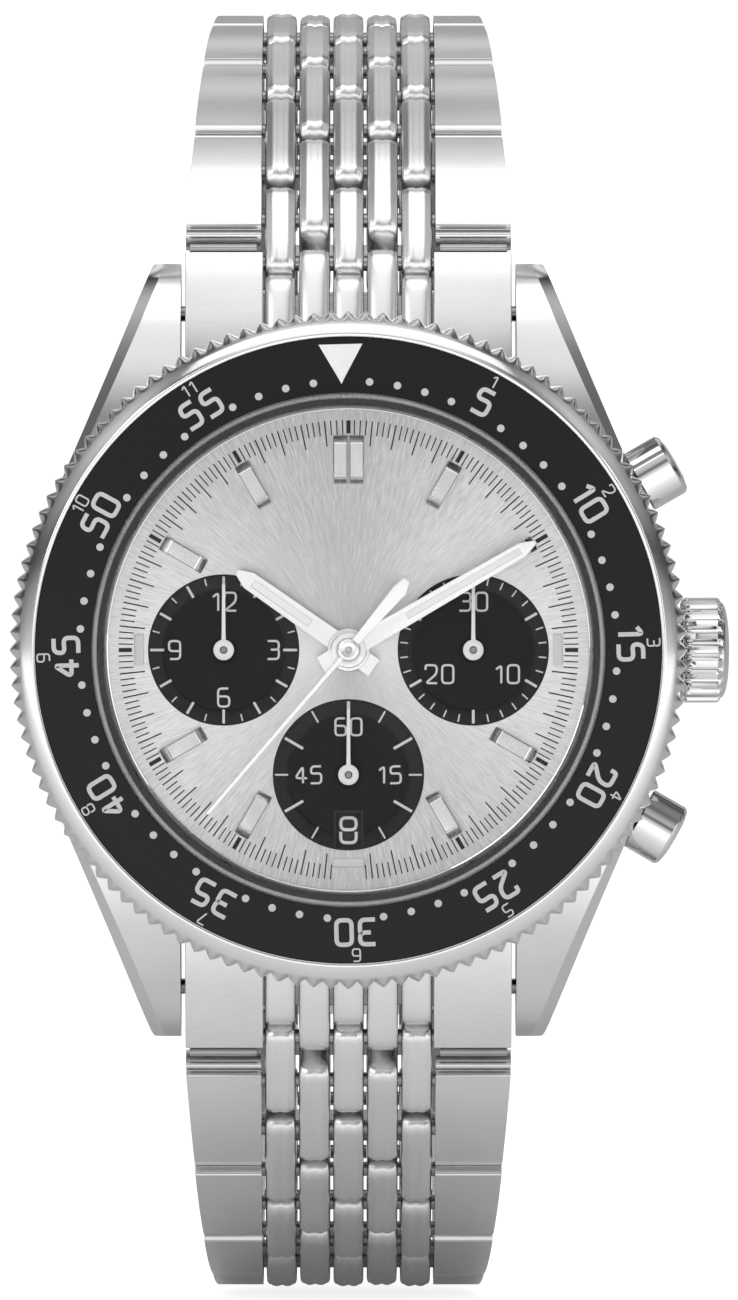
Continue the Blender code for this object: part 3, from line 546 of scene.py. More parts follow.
def beadRow(number, side, sign):
    place, length = rowPlace(number, sign)
    start, end = rowEnds(number, length)
    mesh = bmesh.new()
    for column in (-2, 0, 2):
        bead(mesh, column, -start, length + end, place)
    pitch = bracelet["column pitch"]
    web = box((length / 2 - 0.4, length / 2 + 0.4), (-bracelet["drop"], -0.95))
    crossBar(mesh, web, -2 * pitch, 2 * pitch, place, 1)
    node = f"{side}_bead_link_{number // 2 + 1}"
    watchPiece(f"{side}BeadRow{number // 2 + 1}", mesh, [beadSteel, innerSteelPaintedShade], node, [node], sharp=60)


def halfWidthAt(spot):
    return max(bracelet["clasp half width"], bracelet["outer half width"] - bracelet["taper"] * spot / 2)


# Side outline of an outer link, from its stepped near end over the bowed top
def blockProfile(start, end, length):
    rise = bracelet["rise"]
    ledge = bracelet["ledge"]
    bow = bracelet["block bow"]
    near = -start
    far = length + end
    outline = [(near + 0.5, -bracelet["drop"]), (near, -0.7), (near, 0.45), (near + 0.08, 0.62),
               (near + 0.2, 0.68)]
    outline += [(near + ledge - 0.08, 0.66), (near + ledge - 0.04, 0.5), (near + ledge, 0.5)]
    low = near + ledge
    outline.append((low, rise - bow - 0.12))
    steps = 14
    for step in range(steps + 1):
        share = step / steps
        outline.append((between(low + 0.1, far - 0.1, share), rise - bow * (2 * share - 1) ** 2))
    outline += [(far, rise - bow - 0.12), (far, -0.7), (far - 0.5, -bracelet["drop"])]
    return outline


def outerRow(number, side, sign):
    place, length = rowPlace(number, sign)
    start, end = rowEnds(number, length)
    mesh = bmesh.new()
    for column in (-1, 1):
        bead(mesh, column, -start, length + end, place, look=1)
    for along in (0, length):
        pinRod(mesh, along, 0, -blockInner, blockInner, bracelet["pin radius"] * 0.9, place, 2)
    wide = halfWidthAt(number - 1)
    narrow = halfWidthAt(number + 1)
    outline = blockProfile(start, end, length)
    for hand in (-1, 1):
        sections = []
        for inner in (True, False):
            ring = []
            for along, out in outline:
                share = (along + start) / (length + start + end)
                x = blockInner if inner else between(wide, narrow, share)
                ring.append(place @ Vector((hand * x, along, out)))
            sections.append(ring)
        loft(mesh, sections)
    node = f"{side}_outer_link_{number // 2 + 1}"
    watchPiece(f"{side}OuterRow{number // 2 + 1}", mesh, [satinSteel, beadSteel, innerSteelPaintedShade], node, [node],
               edge=0.07, edgeAngle=50, sharp=40)


for side, sign in (("upper", 1), ("lower", -1)):
    for number, kind in enumerate(rowKinds):
        (beadRow if kind == "bead" else outerRow)(number, side, sign)
print("bracelet made")


# Case, end links and bezel

case = {
    "floor": 1.3,
    "top": 9.9,
    "lug length": 24.1,
    "lug gap": 20.9,
    "lug tip": 1.85,            # width of a lug at its tip
    "chamfer": 0.75,            # polished facet along the outer edge of a lug
    "strap arc": 18.6,
    "cavity": 16.7,
    "bore": 15.9,
    "shelf": 8.2,
    "neck top": 12.3,
    "link arc": 18.95,          # radius of the end links' curved inner end
    "spring bar": (21.0, 3.4),
    "spring bar hole": 0.6,
    "pusher bore": 0.8,
    "pusher well": 2.3,
    "crown tube": 1.5,
    "stem bore": 0.75,
    "control depth": 6.4,
}


# Smooth height through (place, height) points
def spline(points, value):
    if value <= points[0][0]:
        return points[0][1]
    for index in range(len(points) - 1):
        (x0, y0), (x1, y1) = points[index:index + 2]
        if value <= x1:
            before = points[max(index - 1, 0)]
            after = points[min(index + 2, len(points) - 1)]
            slope0 = (y1 - before[1]) / (x1 - before[0])
            slope1 = (after[1] - y0) / (after[0] - x0)
            t = (value - x0) / (x1 - x0)
            h = x1 - x0
            return ((2 * t ** 3 - 3 * t ** 2 + 1) * y0 + (t ** 3 - 2 * t ** 2 + t) * h * slope0
                    + (3 * t ** 2 - 2 * t ** 3) * y1 + (t ** 3 - t ** 2) * h * slope1)
    return points[-1][1]


def outerX(up):
    tip = case["lug gap"] / 2 + case["lug tip"]
    line = [(0, 20.3), (2.8, 20.2), (5.4, 19.8), (7.8, 19.1), (9.9, 18.1), (16.8, 15.15), (23.8, tip),
            (24.1, tip - 0.2)]
    return spline(line, abs(up))


def topDepth(up):
    return spline([(0, case["top"]), (10, case["top"]), (12.5, 9.8), (16, 9.25), (19, 8.25), (21.5, 6.95),
                   (23.2, 5.6), (24.1, 4.1)], abs(up))


def bottomDepth(up):
    return spline([(0, case["floor"]), (17, case["floor"]), (18.8, 1.15), (20.6, 0.72), (22.4, 0.62),
                   (23.4, 0.95), (24.1, 1.9)], abs(up))


# One flank with its two lugs, lofted from tip to tip
def caseFlank(mesh, hand):
    sections = []
    steps = 96
    inner = case["lug gap"] / 2
    for step in range(steps + 1):
        up = -case["lug length"] * math.cos(math.pi * step / steps)
        outer = outerX(up)
        top = topDepth(up)
        low = bottomDepth(up)
        facet = case["chamfer"] * between(0.35, 1.0, min(1, abs(up) / 20))
        wall = max(low + 0.4, top - facet * 1.1)
        ring = [(inner, low), (inner, top), (outer - facet, top), (outer, wall), (outer, low + 0.35),
                (outer - 0.35, low)]
        sections.append([Vector((hand * x, up, depth)) for x, depth in ring])
    rings = loft(mesh, sections)
    for here, there in zip(rings, rings[1:]):
        for face in here[2].link_faces:
            if here[3] in face.verts and there[3] in face.verts:
                face.material_index = 1


# Joins or cuts a mesh by others, each given with its kind, and returns a new one
def fusedPiece(mesh, others):
    def asObject(shape):
        bmesh.ops.recalc_face_normals(shape, faces=shape.faces)
        data = bpy.data.meshes.new("work")
        shape.to_mesh(data)
        shape.free()
        thing = bpy.data.objects.new("work", data)
        bpy.context.scene.collection.objects.link(thing)
        return thing
    thing = asObject(mesh)
    for other, kind in others:
        tool = asObject(other)
        modifier = thing.modifiers.new("work", "BOOLEAN")
        modifier.operation = kind
        modifier.solver = "EXACT"
        modifier.material_mode = "INDEX"
        modifier.object = tool
        bpy.context.view_layer.update()
        graph = bpy.context.evaluated_depsgraph_get()
        data = bpy.data.meshes.new_from_object(thing.evaluated_get(graph))
        thing.modifiers.clear()
        thing.data = data
        bpy.data.objects.remove(tool)
    result = bmesh.new()
    result.from_mesh(thing.data)
    bpy.data.objects.remove(thing)
    return result


def acrossRod(radius, up, depth, low, high, steps=24):
    mesh = bmesh.new()
    ring = [(up + a, depth + b) for a, b in arc(radius, 0, 360, steps)[:-1]]
    crossBar(mesh, ring, low, high)
    return mesh


# Outwards along a pusher becomes the depth axis; sign is +1 above the crown
def pusherPlace(sign):
    turn = Matrix.Rotation(math.radians(90 - sign * 30), 4, "Z")
    lean = Matrix.Rotation(math.radians(-90), 4, "X")
    return Matrix.Translation((0, 0, case["control depth"])) @ turn.inverted() @ lean


def caseMiddle():
    right = bmesh.new()
    caseFlank(right, 1)
    left = bmesh.new()
    caseFlank(left, -1)
    low = case["floor"] + 0.02
    top = case["top"] - 0.02
    neck = case["neck top"]
    arcRadius = case["strap arc"]
    ring = lathed(
        [(14.0, low), (arcRadius, low), (arcRadius, top), (16.4, top), (16.3, neck - 0.05), (16.2, neck),
         (14.0, neck)],
        160)
    cavity = lathed(
        [(0, 0), (case["cavity"], 0), (case["cavity"], case["shelf"]), (case["bore"], case["shelf"]),
         (case["bore"], 14), (0, 14)], 160)
    steps = [(left, "UNION"), (ring, "UNION"), (cavity, "DIFFERENCE")]
    for sign in (1, -1):
        up, depth = case["spring bar"]
        steps.append((acrossRod(case["spring bar hole"], sign * up, depth, -15, 15), "DIFFERENCE"))
        bore = case["pusher bore"]
        wide = case["pusher well"]
        well = lathed([(0, 15), (bore, 15), (bore, 19.55), (wide, 19.55), (wide, 26), (0, 26)], 48,
                      place=pusherPlace(sign))
        steps.append((well, "DIFFERENCE"))
    steps.append((acrossRod(case["crown tube"], 0, case["control depth"], 19, 21.9, 40), "UNION"))
    steps.append((acrossRod(case["stem bore"], 0, case["control depth"], 10, 25, 32), "DIFFERENCE"))
    body = fusedPiece(right, steps)
    watchPiece("caseMiddle", body, [lugSteel, polishedSteel], "head", ["case_middle"], edge=0.09, sharp=30)


# Fills the gap between two lugs: side blocks, five rounded tabs and a base
def endLink(side, sign):
    node = f"end_link_{side}"
    flip = Matrix.Rotation(math.pi, 4, "Z") if sign < 0 else Matrix.Identity(4)
    pitch = bracelet["column pitch"]
    pinUp, pinDepth = pins[0]
    top = pinDepth + bracelet["rise"]

    def lie(up):
        return spline([(17, top + 2.55), (20.4, top + 1.75), (22.8, top + 0.8), (25.2, top - 0.4)], up)

    mesh = bmesh.new()
    for column in range(-2, 3):
        tab = bracelet["bead width"] / 2
        end = pinUp + 0.85 if column % 2 else pinUp - 0.75
        sections = []
        for stop in (0, 0.3, 0.6, 0.8, 0.9, 0.96, 0.99, 1.0):
            up = between(17.6, end, stop)
            edge = min((end - up) / 0.6, 1.0)
            turn = math.sqrt(max(0.0, 1 - (1 - edge) ** 2))
            crest = lie(up) - 0.5 * (1 - turn)
            width = tab * between(0.88, 1, turn)
            ring = []
            for step in range(17):
                angle = math.radians(between(-90, 90, step / 16))
                x = math.copysign(abs(math.sin(angle)) ** 0.8, angle) * width
                ring.append(Vector((column * pitch + x, up, crest - 0.5 * (1 - math.cos(angle) ** 0.7))))
            ring.append(Vector((column * pitch + width, up, max(2.2, crest - 2.6))))
            ring.append(Vector((column * pitch - width, up, max(2.2, crest - 2.6))))
            sections.append([flip @ point for point in ring])
        loft(mesh, sections, look=1)
    reach = bracelet["outer half width"]
    for hand in (-1, 1):
        sections = []
        for step in range(15):
            x = between(blockInner - 0.12, reach, step / 14)
            start = math.sqrt(case["link arc"] ** 2 - x ** 2)
            stops = [between(start, pinUp + 0.62, share) for share in (0, 0.25, 0.5, 0.75, 0.9)]
            upper = [(up, lie(up)) for up in stops] + [(pinUp + 0.7, lie(pinUp + 0.7) - 0.1)]
            lower = [(pinUp + 0.7, 4.4), (pinUp + 0.4, 3.3), (22.8, 2.4), (20, 2.0), (start, 2.0)]
            sections.append([flip @ Vector((hand * x, up, depth)) for up, depth in upper + lower])
        loft(mesh, sections)
        bar = [(pinUp + 0.95 + a * 0.28, pinDepth + 0.55 + b * 0.4) for a, b in arc(1, 0, 360, 16)[:-1]]
        low, high = sorted((hand * (blockInner + 0.25), hand * (reach - 0.25)))
        crossBar(mesh, bar, low, high, flip, 2)
        low, high = sorted((hand * (reach - 1), hand * (case["lug gap"] / 2 + 1.2)))
        barUp, barDepth = case["spring bar"]
        crossBar(mesh, [(barUp + a, barDepth + b) for a, b in arc(0.48, 0, 360, 16)[:-1]], low, high, flip, 2)
    sections = []
    for step in range(25):
        x = between(-blockInner, blockInner, step / 24)
        start = math.sqrt(case["link arc"] ** 2 - x ** 2)
        ring = [(start, 2.0), (start, lie(start) - 1.0), (21.0, lie(21.0) - 1.0), (22.1, lie(22.1) - 1.1),
                (22.2, 2.6), (20, 2.0)]
        sections.append([flip @ Vector((x, up, depth)) for up, depth in ring])
    loft(mesh, sections, look=2)
    pinRod(mesh, pinUp, pinDepth, -blockInner - 0.3, blockInner + 0.3, 0.46, flip, 2)
    watchPiece(f"{side}EndLink", mesh, [satinSteel, beadSteel, innerSteelPaintedShade], "head", [node], edge=0.06,
               edgeAngle=55, sharp=38)


bezel = {
    "teeth": 120,
    "radius": 21.0,
    "tooth depth": 0.42,
    "floor": 10.2,
    "insert outer": 19.4,
    "insert inner": 15.9,
    "insert top": 13.2,
    "insert slope": 0.32,
    "turn": -1.5,               # the whole bezel sits a little anticlockwise
    "dot radius": 16.62,
    "numeral radius": 17.45,
    "numeral height": 1.52,
    "small radius": 18.87,
    "small height": 0.76,
    "pen": 0.27,
    "small pen": 0.1,
    "dot size": 0.235,
    "raised": 0.018,            # paint above the insert
    "triangle": (16.47, 18.91, 1.36),      # tip, base and half its width
}


def bezelRing():
    perTooth = 8
    floor = bezel["floor"]
    outer = bezel["radius"]
    recess = bezel["insert outer"] + 0.04
    top = bezel["insert top"]
    edge = top - bezel["insert slope"]
    profile = [(16.65, floor + 0.05), (20.3, floor), (outer - 0.12, floor + 0.12), (outer, floor + 0.3),
               (outer, floor + 1.35),
               (outer - 0.15, floor + 1.62), (20.45, edge - 0.62), (20.3, edge - 0.42), (19.65, edge + 0.10),
               (19.55, edge + 0.13),
               (recess, edge + 0.10), (recess, edge - 0.7), (16.65, edge - 0.7)]
    shaped = {2: 0.9, 3: 1.0, 4: 1.0, 5: 0.85}

    def toothed(index, step, radius):
        if index not in shaped:
            return radius
        share = (step % perTooth) / perTooth
        wave = abs(2 * share - 1)
        return radius - bezel["tooth depth"] * shaped[index] * (1 - wave) ** 1.15
    looks = [1 if index in (2, 3, 4) else 0 for index in range(len(profile))]      # the teeth shine
    mesh = lathed(profile, bezel["teeth"] * perTooth, radiusAt=toothed, look=looks)
    watchPiece("bezelRing", mesh, [polishedRing, polishedSteel], "bezel", ["bezel_ring"],
               sharp=40)


def insertSurface(radius):
    share = (radius - bezel["insert inner"]) / (bezel["insert outer"] - bezel["insert inner"])
    return bezel["insert top"] - bezel["insert slope"] * share


def bezelInsert():
    low = bezel["insert top"] - 0.62
    inner = bezel["insert inner"]
    outer = bezel["insert outer"]
    profile = [(inner, low), (outer - 0.02, low), (outer, insertSurface(outer) - 0.06),
               (outer - 0.06, insertSurface(outer - 0.06)),
               (inner + 0.3, insertSurface(inner + 0.3)), (inner + 0.06, insertSurface(inner)),
               (inner, insertSurface(inner) - 0.06)]
    watchPiece("bezelInsert", lathed(profile, 240), blackInsert, "bezel", ["bezel_insert"],
               sharp=40)


# Numerals are drawn as pen strokes in a box one unit high, with rounded corners.
numeralWidth = 0.62
numeralStrokes = {
    "0": [([(0, 0), (0.62, 0), (0.62, 1), (0, 1)], True)],
    "1": [([(0.05, 0.76), (0.34, 1.0), (0.34, 0)], False)],
    "2": [([(0, 0.74), (0, 1), (0.62, 1), (0.62, 0.52), (0, 0), (0.64, 0)], False)],
    "3": [([(0, 1), (0.62, 1), (0.62, 0.52), (0.18, 0.52)], False),
          ([(0.5, 0.52), (0.62, 0.5), (0.62, 0), (0, 0)], False)],
    "4": [([(0.46, 0), (0.46, 1), (0, 0.3), (0.7, 0.3)], False)],
    "5": [([(0.6, 1), (0.04, 1), (0, 0.56), (0.62, 0.6), (0.62, 0), (0, 0)], False)],
    "6": [([(0.56, 1), (0, 1), (0, 0), (0.62, 0), (0.62, 0.56), (0.04, 0.56)], False)],
    "7": [([(0, 1), (0.64, 1), (0.2, 0)], False)],
    "8": [([(0, 0.52), (0.62, 0.52), (0.62, 1), (0, 1)], True),
          ([(0, 0.44), (0, 0), (0.62, 0), (0.62, 0.44)], False)],
    "9": [([(0.06, 0), (0.62, 0), (0.62, 1), (0, 1), (0, 0.44), (0.58, 0.44)], False)],
}


# Replaces each corner of a pen stroke by a short arc
def roundedLine(points, closed, radius):
    corners = [Vector(point) for point in points]
    count = len(corners)
    line = []
    for index, corner in enumerate(corners):
        if not closed and index in (0, count - 1):
            line.append(corner)
            continue
        before = corners[index - 1]
        after = corners[(index + 1) % count]
        reach = min(radius, (corner - before).length * 0.48, (after - corner).length * 0.48)
        start = corner + (before - corner).normalized() * reach
        end = corner + (after - corner).normalized() * reach
        for step in range(6):
            share = step / 5
            line.append(start * (1 - share) ** 2 + corner * 2 * share * (1 - share) + end * share ** 2)
    return line


# A flat ribbon along a pen line, with square ends
def penStroke(mesh, line, closed, pen, low, high, place, look=0):
    count = len(line)
    left = []
    right = []
    for index, point in enumerate(line):
        before = line[index - 1] if closed or index else None
        after = line[(index + 1) % count] if closed or index < count - 1 else None
        ahead = ((after or point) - (before or point)).normalized()
        normal = Vector((-ahead.y, ahead.x))
        widen = 1.0
        if before is not None and after is not None:
            bend = (point - before).normalized().dot((after - point).normalized())
            widen = 1 / max(0.6, math.sqrt((1 + bend) / 2))
        left.append(point + normal * pen / 2 * widen)
        right.append(point - normal * pen / 2 * widen)
    sections = []
    for a, b in zip(left, right):
        sections.append([place(a, low), place(b, low), place(b, high), place(a, high)])
    if closed:
        sections.append(sections[0])
    loft(mesh, sections, capped=not closed, look=look)


# Writes plain figures; place maps the middle of the text to the watch
def numeral(mesh, text, height, pen, place, surface, thickness, spacing=0.3, look=0):
    widths = [0.4 if figure == "1" else numeralWidth for figure in text]
    total = sum(widths) + spacing * (len(text) - 1)
    left = -total / 2
    for figure, width in zip(text, widths):
        for points, closed in numeralStrokes[figure]:
            line = roundedLine(points, closed, 0.22)
            line = [Vector(((point.x + left) * height, (point.y - 0.5) * height)) for point in line]

            def onFace(point, lift):
                spot = place @ Vector((point.x, point.y, 0))
                return Vector((spot.x, spot.y, surface(spot.xy.length) + lift))
            penStroke(mesh, line, closed, pen, -0.02, thickness, onFace, look)
        left += width + spacing


def disc(mesh, radius, steps, place, surface, thickness, look=0):
    sections = []
    for lift in (-0.02, thickness):
        ring = []
        for x, up in arc(radius, 0, 360, steps)[:-1]:
            spot = place @ Vector((x, up, 0))
            ring.append(Vector((spot.x, spot.y, surface(spot.xy.length) + lift)))
        sections.append(ring)
    loft(mesh, sections, look=look)


def bezelMarks():
    mesh = bmesh.new()
    raised = bezel["raised"]
    for minute in range(60):
        turn = turned(minute * 6 + bezel["turn"])

        def outwards(key):
            return turn @ Matrix.Translation((0, bezel[key], 0))
        if minute % 5:
            disc(mesh, bezel["dot size"], 20, outwards("dot radius"), insertSurface, raised)
        elif minute:
            numeral(mesh, str(minute), bezel["numeral height"], bezel["pen"], outwards("numeral radius"),
                    insertSurface, raised, 0.34)
            numeral(mesh, str(minute // 5), bezel["small height"], bezel["small pen"],
                    outwards("small radius"),
                    insertSurface, raised)
    watchPiece("bezelMarks", mesh, greyPrint, "bezel", sharp=30)
    mesh = bmesh.new()
    tip, wide, halfWide = bezel["triangle"]
    rows = 10
    sections = []
    for step in range(rows + 1):
        up = between(tip, wide, step / rows)
        half = max(0.02, halfWide * step / rows)
        ring = []
        for x, lift in ((-half, -0.02), (half, -0.02), (half, 0.03), (half * 0.9, 0.06), (-half * 0.9, 0.06),
                        (-half, 0.03)):
            spot = turned(bezel["turn"]) @ Vector((x, up, 0))
            ring.append(Vector((spot.x, spot.y, insertSurface(spot.xy.length) + lift)))
        sections.append(ring)
    loft(mesh, sections)
    watchPiece("bezelTriangle", mesh, lume, "bezel", sharp=30)


crystal = {
    "radius": 15.6,
    "floor": 11.2,
    "top": 15.6,
    "shoulder": 0.75,           # height of the dome above its edge
    "thickness": 2.3,
    "wall": 0.7,
}


def crystalDome():
    outer = crystal["radius"]
    floor = crystal["floor"]
    top = crystal["top"]
    wall = crystal["wall"]
    shoulder = top - crystal["shoulder"]
    profile = [(outer - wall, floor), (outer, floor), (outer, shoulder - 0.55)]
    dome = []
    for step in range(9):
        share = step / 8
        rise = math.sin(share * math.pi / 2) ** 0.9
        dome.append((outer - 0.35 - (outer - 0.35) * share, shoulder - 0.1 + (top - shoulder + 0.1) * rise))
    thickness = crystal["thickness"]
    inner = [(0, top - thickness)]
    inner += [(radius * 0.94, depth - thickness) for radius, depth in reversed(dome[1:-1])]
    inner.append((outer - wall, shoulder - thickness + 0.1))
    watchPiece("crystal", lathed(profile + dome + inner, 160), clearCrystal, "head", ["crystal"],
               sharp=30)


def innerFlange():
    mesh = lathed([(15.02, 9.3), (15.6, 9.3), (15.6, 10.9), (15.25, 10.9), (15.17, 10.75), (15.0, 9.5)], 200)
    watchPiece("innerFlange", mesh, flangeBlack, "head", ["inner_flange"], sharp=30)
    mesh = lathed([(14.93, 9.3), (15.02, 9.3), (15.02, 9.5), (14.93, 9.46)], 200)
    watchPiece("flangeRing", mesh, polishedSteel, "head", sharp=30)


polishedRing = steelMaterial("polished bezel", cool(0.70), cool(0.78), 0.10, 0.16, evenly(900), 0)
flangeBlack = speckledMaterial("dark flange", 0.03, 0.06, 0.22, metallic=0.6)
caseMiddle()
endLink("upper", 1)
endLink("lower", -1)
bezelRing()
bezelInsert()
bezelMarks()
crystalDome()
innerFlange()
print("case and bezel made")


# Crown and pushers

controls = {
    "crown radius": 3.3,
    "crown base": 20.65,
    "crown end": 23.7,
    "flutes": 24,
    "flute depth": 0.3,
    "pusher radius": 2.0,
    "pusher base": 20.85,
    "pusher face": 23.5,
}


def crown():
    base = controls["crown base"]
    end = controls["crown end"]
    radius = controls["crown radius"]
    perFlute = 10
    profile = [(1.9, base + 0.05), (2.9, base), (radius - 0.12, base + 0.12), (radius, base + 0.3),
               (radius, end - 0.78),
               (radius - 0.14, end - 0.62), (radius - 0.34, end - 0.5)]
    for step in range(1, 8):
        share = step / 8
        rounding = share * math.pi / 2
        profile.append(((radius - 0.34) * math.cos(rounding) ** 0.85, end - 0.5 + 0.5 * math.sin(rounding)))
    profile += [(0, end), (0, end - 0.7), (0.75, end - 0.7), (0.75, base + 1.6), (1.9, base + 1.6)]
    shaped = {1: 0.35, 2: 0.8, 3: 1.0, 4: 1.0, 5: 0.6, 6: 0.1}

    def fluted(index, step, reach):
        if index not in shaped:
            return reach
        share = (step % perFlute) / perFlute
        groove = max(0.0, math.cos(2 * math.pi * (share - 0.5)) + 0.25) / 1.25
        return reach - controls["flute depth"] * shaped[index] * groove ** 0.8
    turn = Matrix.Translation((0, 0, case["control depth"])) @ Matrix.Rotation(math.radians(90), 4, "Y")
    mesh = lathed(profile, controls["flutes"] * perFlute, place=turn, radiusAt=fluted)
    watchPiece("crown", mesh, polishedSteel, "crown_and_stem", ["crown"], sharp=35)
    rod = [(0, 9.65), (0.55, 9.7)]
    for groove in range(6):
        place = 11 + groove * 0.5
        rod += [(0.55, place), (0.48, place + 0.12), (0.48, place + 0.3), (0.55, place + 0.42)]
    rod += [(0.55, end - 0.9), (0, end - 0.85)]
    watchPiece("windingStem", lathed(rod, 32, closed=False, place=turn), nickel, "crown_and_stem",
               ["winding_stem"])


def pusher(name, node, sign):
    base = controls["pusher base"]
    face = controls["pusher face"]
    radius = controls["pusher radius"]
    profile = [(0, 17.6), (0.62, 17.6), (0.68, 17.7), (0.68, base), (radius - 0.12, base),
               (radius, base + 0.1), (radius, face - 0.42),
               (radius - 0.08, face - 0.3), (radius - 0.24, face - 0.17), (radius * 0.55, face - 0.04),
               (0, face)]
    watchPiece(name, lathed(profile, 128, closed=False, place=pusherPlace(sign)), polishedSteel, node, [node],
               sharp=25)


crown()
pusher("startPusher", "pusher_start", 1)
pusher("resetPusher", "pusher_reset", -1)
print("crown and pushers made")


# Dial, markers and calendar

dial = {
    "back": 8.5,
    "front": 9.0,
    "radius": 15.6,
    "sub radius": 4.7,
    "sub level": 8.8,
    "sub places": {"left": (-7.75, 0), "right": (7.75, 0), "bottom": (0, -7.75)},
    "groove pitch": 0.17,
    "groove depth": 0.022,
    "grooved to": 3.78,
    "window": (0, -11.2),
    "window size": (1.56, 2.2),
    "track outer": 14.28,
    "short tick": 13.38,
    "long tick": 12.70,
    "marker inner": 10.3,
    "marker outer": 13.32,
    "marker width": 0.96,
    "marker height": 0.5,
    "print": 0.012,             # thickness of the printed marks
    "disc": (9.4, 13.0),        # inner and outer radius of the date disc
    "disc levels": (8.02, 8.24),
}


def tick(mesh, inner, outer, width, angle, level, raised, centre=(0, 0), look=0):
    place = turned(angle, *centre)
    prism(mesh, box((-width / 2, width / 2), (inner, outer)), level - 0.02, level + raised, place, look)


def dialPlate():
    plate = cylinder(dial["radius"], dial["back"], dial["front"], 240)
    tools = []
    for x, up in dial["sub places"].values():
        tools.append((cylinder(dial["sub radius"], 8, 10, 128, Matrix.Translation((x, up, 0))), "DIFFERENCE"))
    tools.append((cylinder(1.2, 8, 10, 48), "DIFFERENCE"))
    body = fusedPiece(plate, tools)
    watchPiece("dialPlate", body, sunrayDial, "head", ["dial"], smooth=False)


def subDial(name, centre):
    mesh = bmesh.new()
    level = dial["sub level"]
    profile = [(0.42, dial["back"]), (dial["sub radius"] - 0.01, dial["back"]),
               (dial["sub radius"] - 0.01, level)]
    looks = [0, 0, 1]
    edge = dial["grooved to"]
    profile.append((edge + 0.05, level))
    looks.append(0)
    radius = edge
    while radius > 0.75:      # rings cut into the middle of the counter
        profile += [(radius, level - 0.012),
                    (radius - dial["groove pitch"] * 0.5, level - dial["groove depth"] - 0.012)]
        looks += [0, 0]
        radius -= dial["groove pitch"]
    profile.append((0.42, level - 0.012))
    looks.append(0)
    lathe(mesh, profile, 128, place=Matrix.Translation((*centre, 0)), look=looks)
    if name == "bottom":
        x, up = dial["window"]
        wide, tall = dial["window size"]
        window = extruded(box((x - wide / 2, x + wide / 2), (up - tall / 2, up + tall / 2)), 8, 10)
        mesh = fusedPiece(mesh, [(window, "DIFFERENCE")])
    watchPiece(f"{name}SubDial", mesh, [blackDial, blackRing], "head", sharp=50)


# A surface of one level, in the form that numeral and disc take
def flatAt(level):
    return lambda radius: level


def subDialMarks():
    mesh = bmesh.new()
    level = dial["sub level"]
    raised = dial["print"]
    outer = 4.56      # outer end of the ticks
    face = flatAt(level)
    left = dial["sub places"]["left"]
    right = dial["sub places"]["right"]
    bottom = dial["sub places"]["bottom"]

    def figures(text, centre, x, up, height):
        place = Matrix.Translation((centre[0] + x, centre[1] + up, 0))
        numeral(mesh, text, height, 0.13, place, face, raised)
    for step in range(24):
        major = step % 2 == 0
        inner = 3.75 if major else 4.12
        tick(mesh, inner if step % 6 else 3.7, outer, 0.16 if major else 0.085, step * 15, level, raised,
             left)
    for step in range(30):
        major = step % 5 == 0
        tick(mesh, 3.72 if major else 4.08, outer, 0.17 if major else 0.09, step * 12, level, raised, right)
    for angles, inner, width in (((30, 150, 210, 330), 3.75, 0.11), ((60, 120, 240, 300), 3.25, 0.17),
                                 ((90, 270), 3.75, 0.11), ((0,), 3.9, 0.2)):
        for angle in angles:
            tick(mesh, inner, outer, width, angle, level, raised, bottom)
    for text, x, up in (("12", 0.02, 3.0), ("3", 3.08, 0), ("6", 0, -2.95), ("9", -3.05, 0)):
        figures(text, left, x, up, 1.12)
    for text, x, up in (("30", 0, 3.0), ("10", 2.1, -1.5), ("20", -2.1, -1.5)):
        figures(text, right, x, up, 1.12)
    for text, x, up in (("60", 0, 2.98), ("15", 2.55, 0), ("45", -2.5, 0)):
        figures(text, bottom, x, up, 1.05)
    watchPiece("subDialMarks", mesh, whitePrint, "head", sharp=30)


def minuteTrack():
    mesh = bmesh.new()
    level = dial["front"]
    outer = dial["track outer"]
    for step in range(240):
        angle = step * 1.5
        if abs(angle - 180) < 4:
            continue
        if step % 20 == 0:
            tick(mesh, 13.45, outer - 0.02, 0.26, angle, level, dial["print"])
        elif step % 4 == 0:
            tick(mesh, dial["long tick"], outer, 0.085, angle, level, dial["print"])
        else:
            tick(mesh, dial["short tick"], outer, 0.075, angle, level, dial["print"])
    watchPiece("minuteTrack", mesh, blackPrint, "head", sharp=30)


# A bar with polished sloping ends and a brushed middle that sits a little lower
def longMarker(mesh, angle, offset=0, width=None):
    half = (width or dial["marker width"]) / 2
    inner = dial["marker inner"]
    outer = dial["marker outer"]
    base = dial["front"]
    high = dial["marker height"]
    place = turned(angle) @ Matrix.Translation((offset, 0, 0))

    def block(stops, look):
        sections = []
        for up, depth, narrow in stops:
            side = half - narrow
            ring = [(-side, base - 0.02), (side, base - 0.02), (side, base + depth - 0.05),
                    (side - 0.05, base + depth),
                    (-side + 0.05, base + depth), (-side, base + depth - 0.05)]
            sections.append([place @ Vector((x, up, level)) for x, level in ring])
        loft(mesh, sections, look=look)
    block([(inner, 0.12, 0.03), (inner + 0.05, 0.2, 0), (inner + 0.5, high, 0),
           (inner + 0.56, high - 0.02, 0)], 0)
    block([(outer - 0.52, high - 0.02, 0), (outer - 0.46, high, 0), (outer - 0.06, high - 0.14, 0),
           (outer, high - 0.22, 0.03)], 0)
    block([(inner + 0.55, high - 0.10, 0.015), (outer - 0.51, high - 0.10, 0.015)], 1)


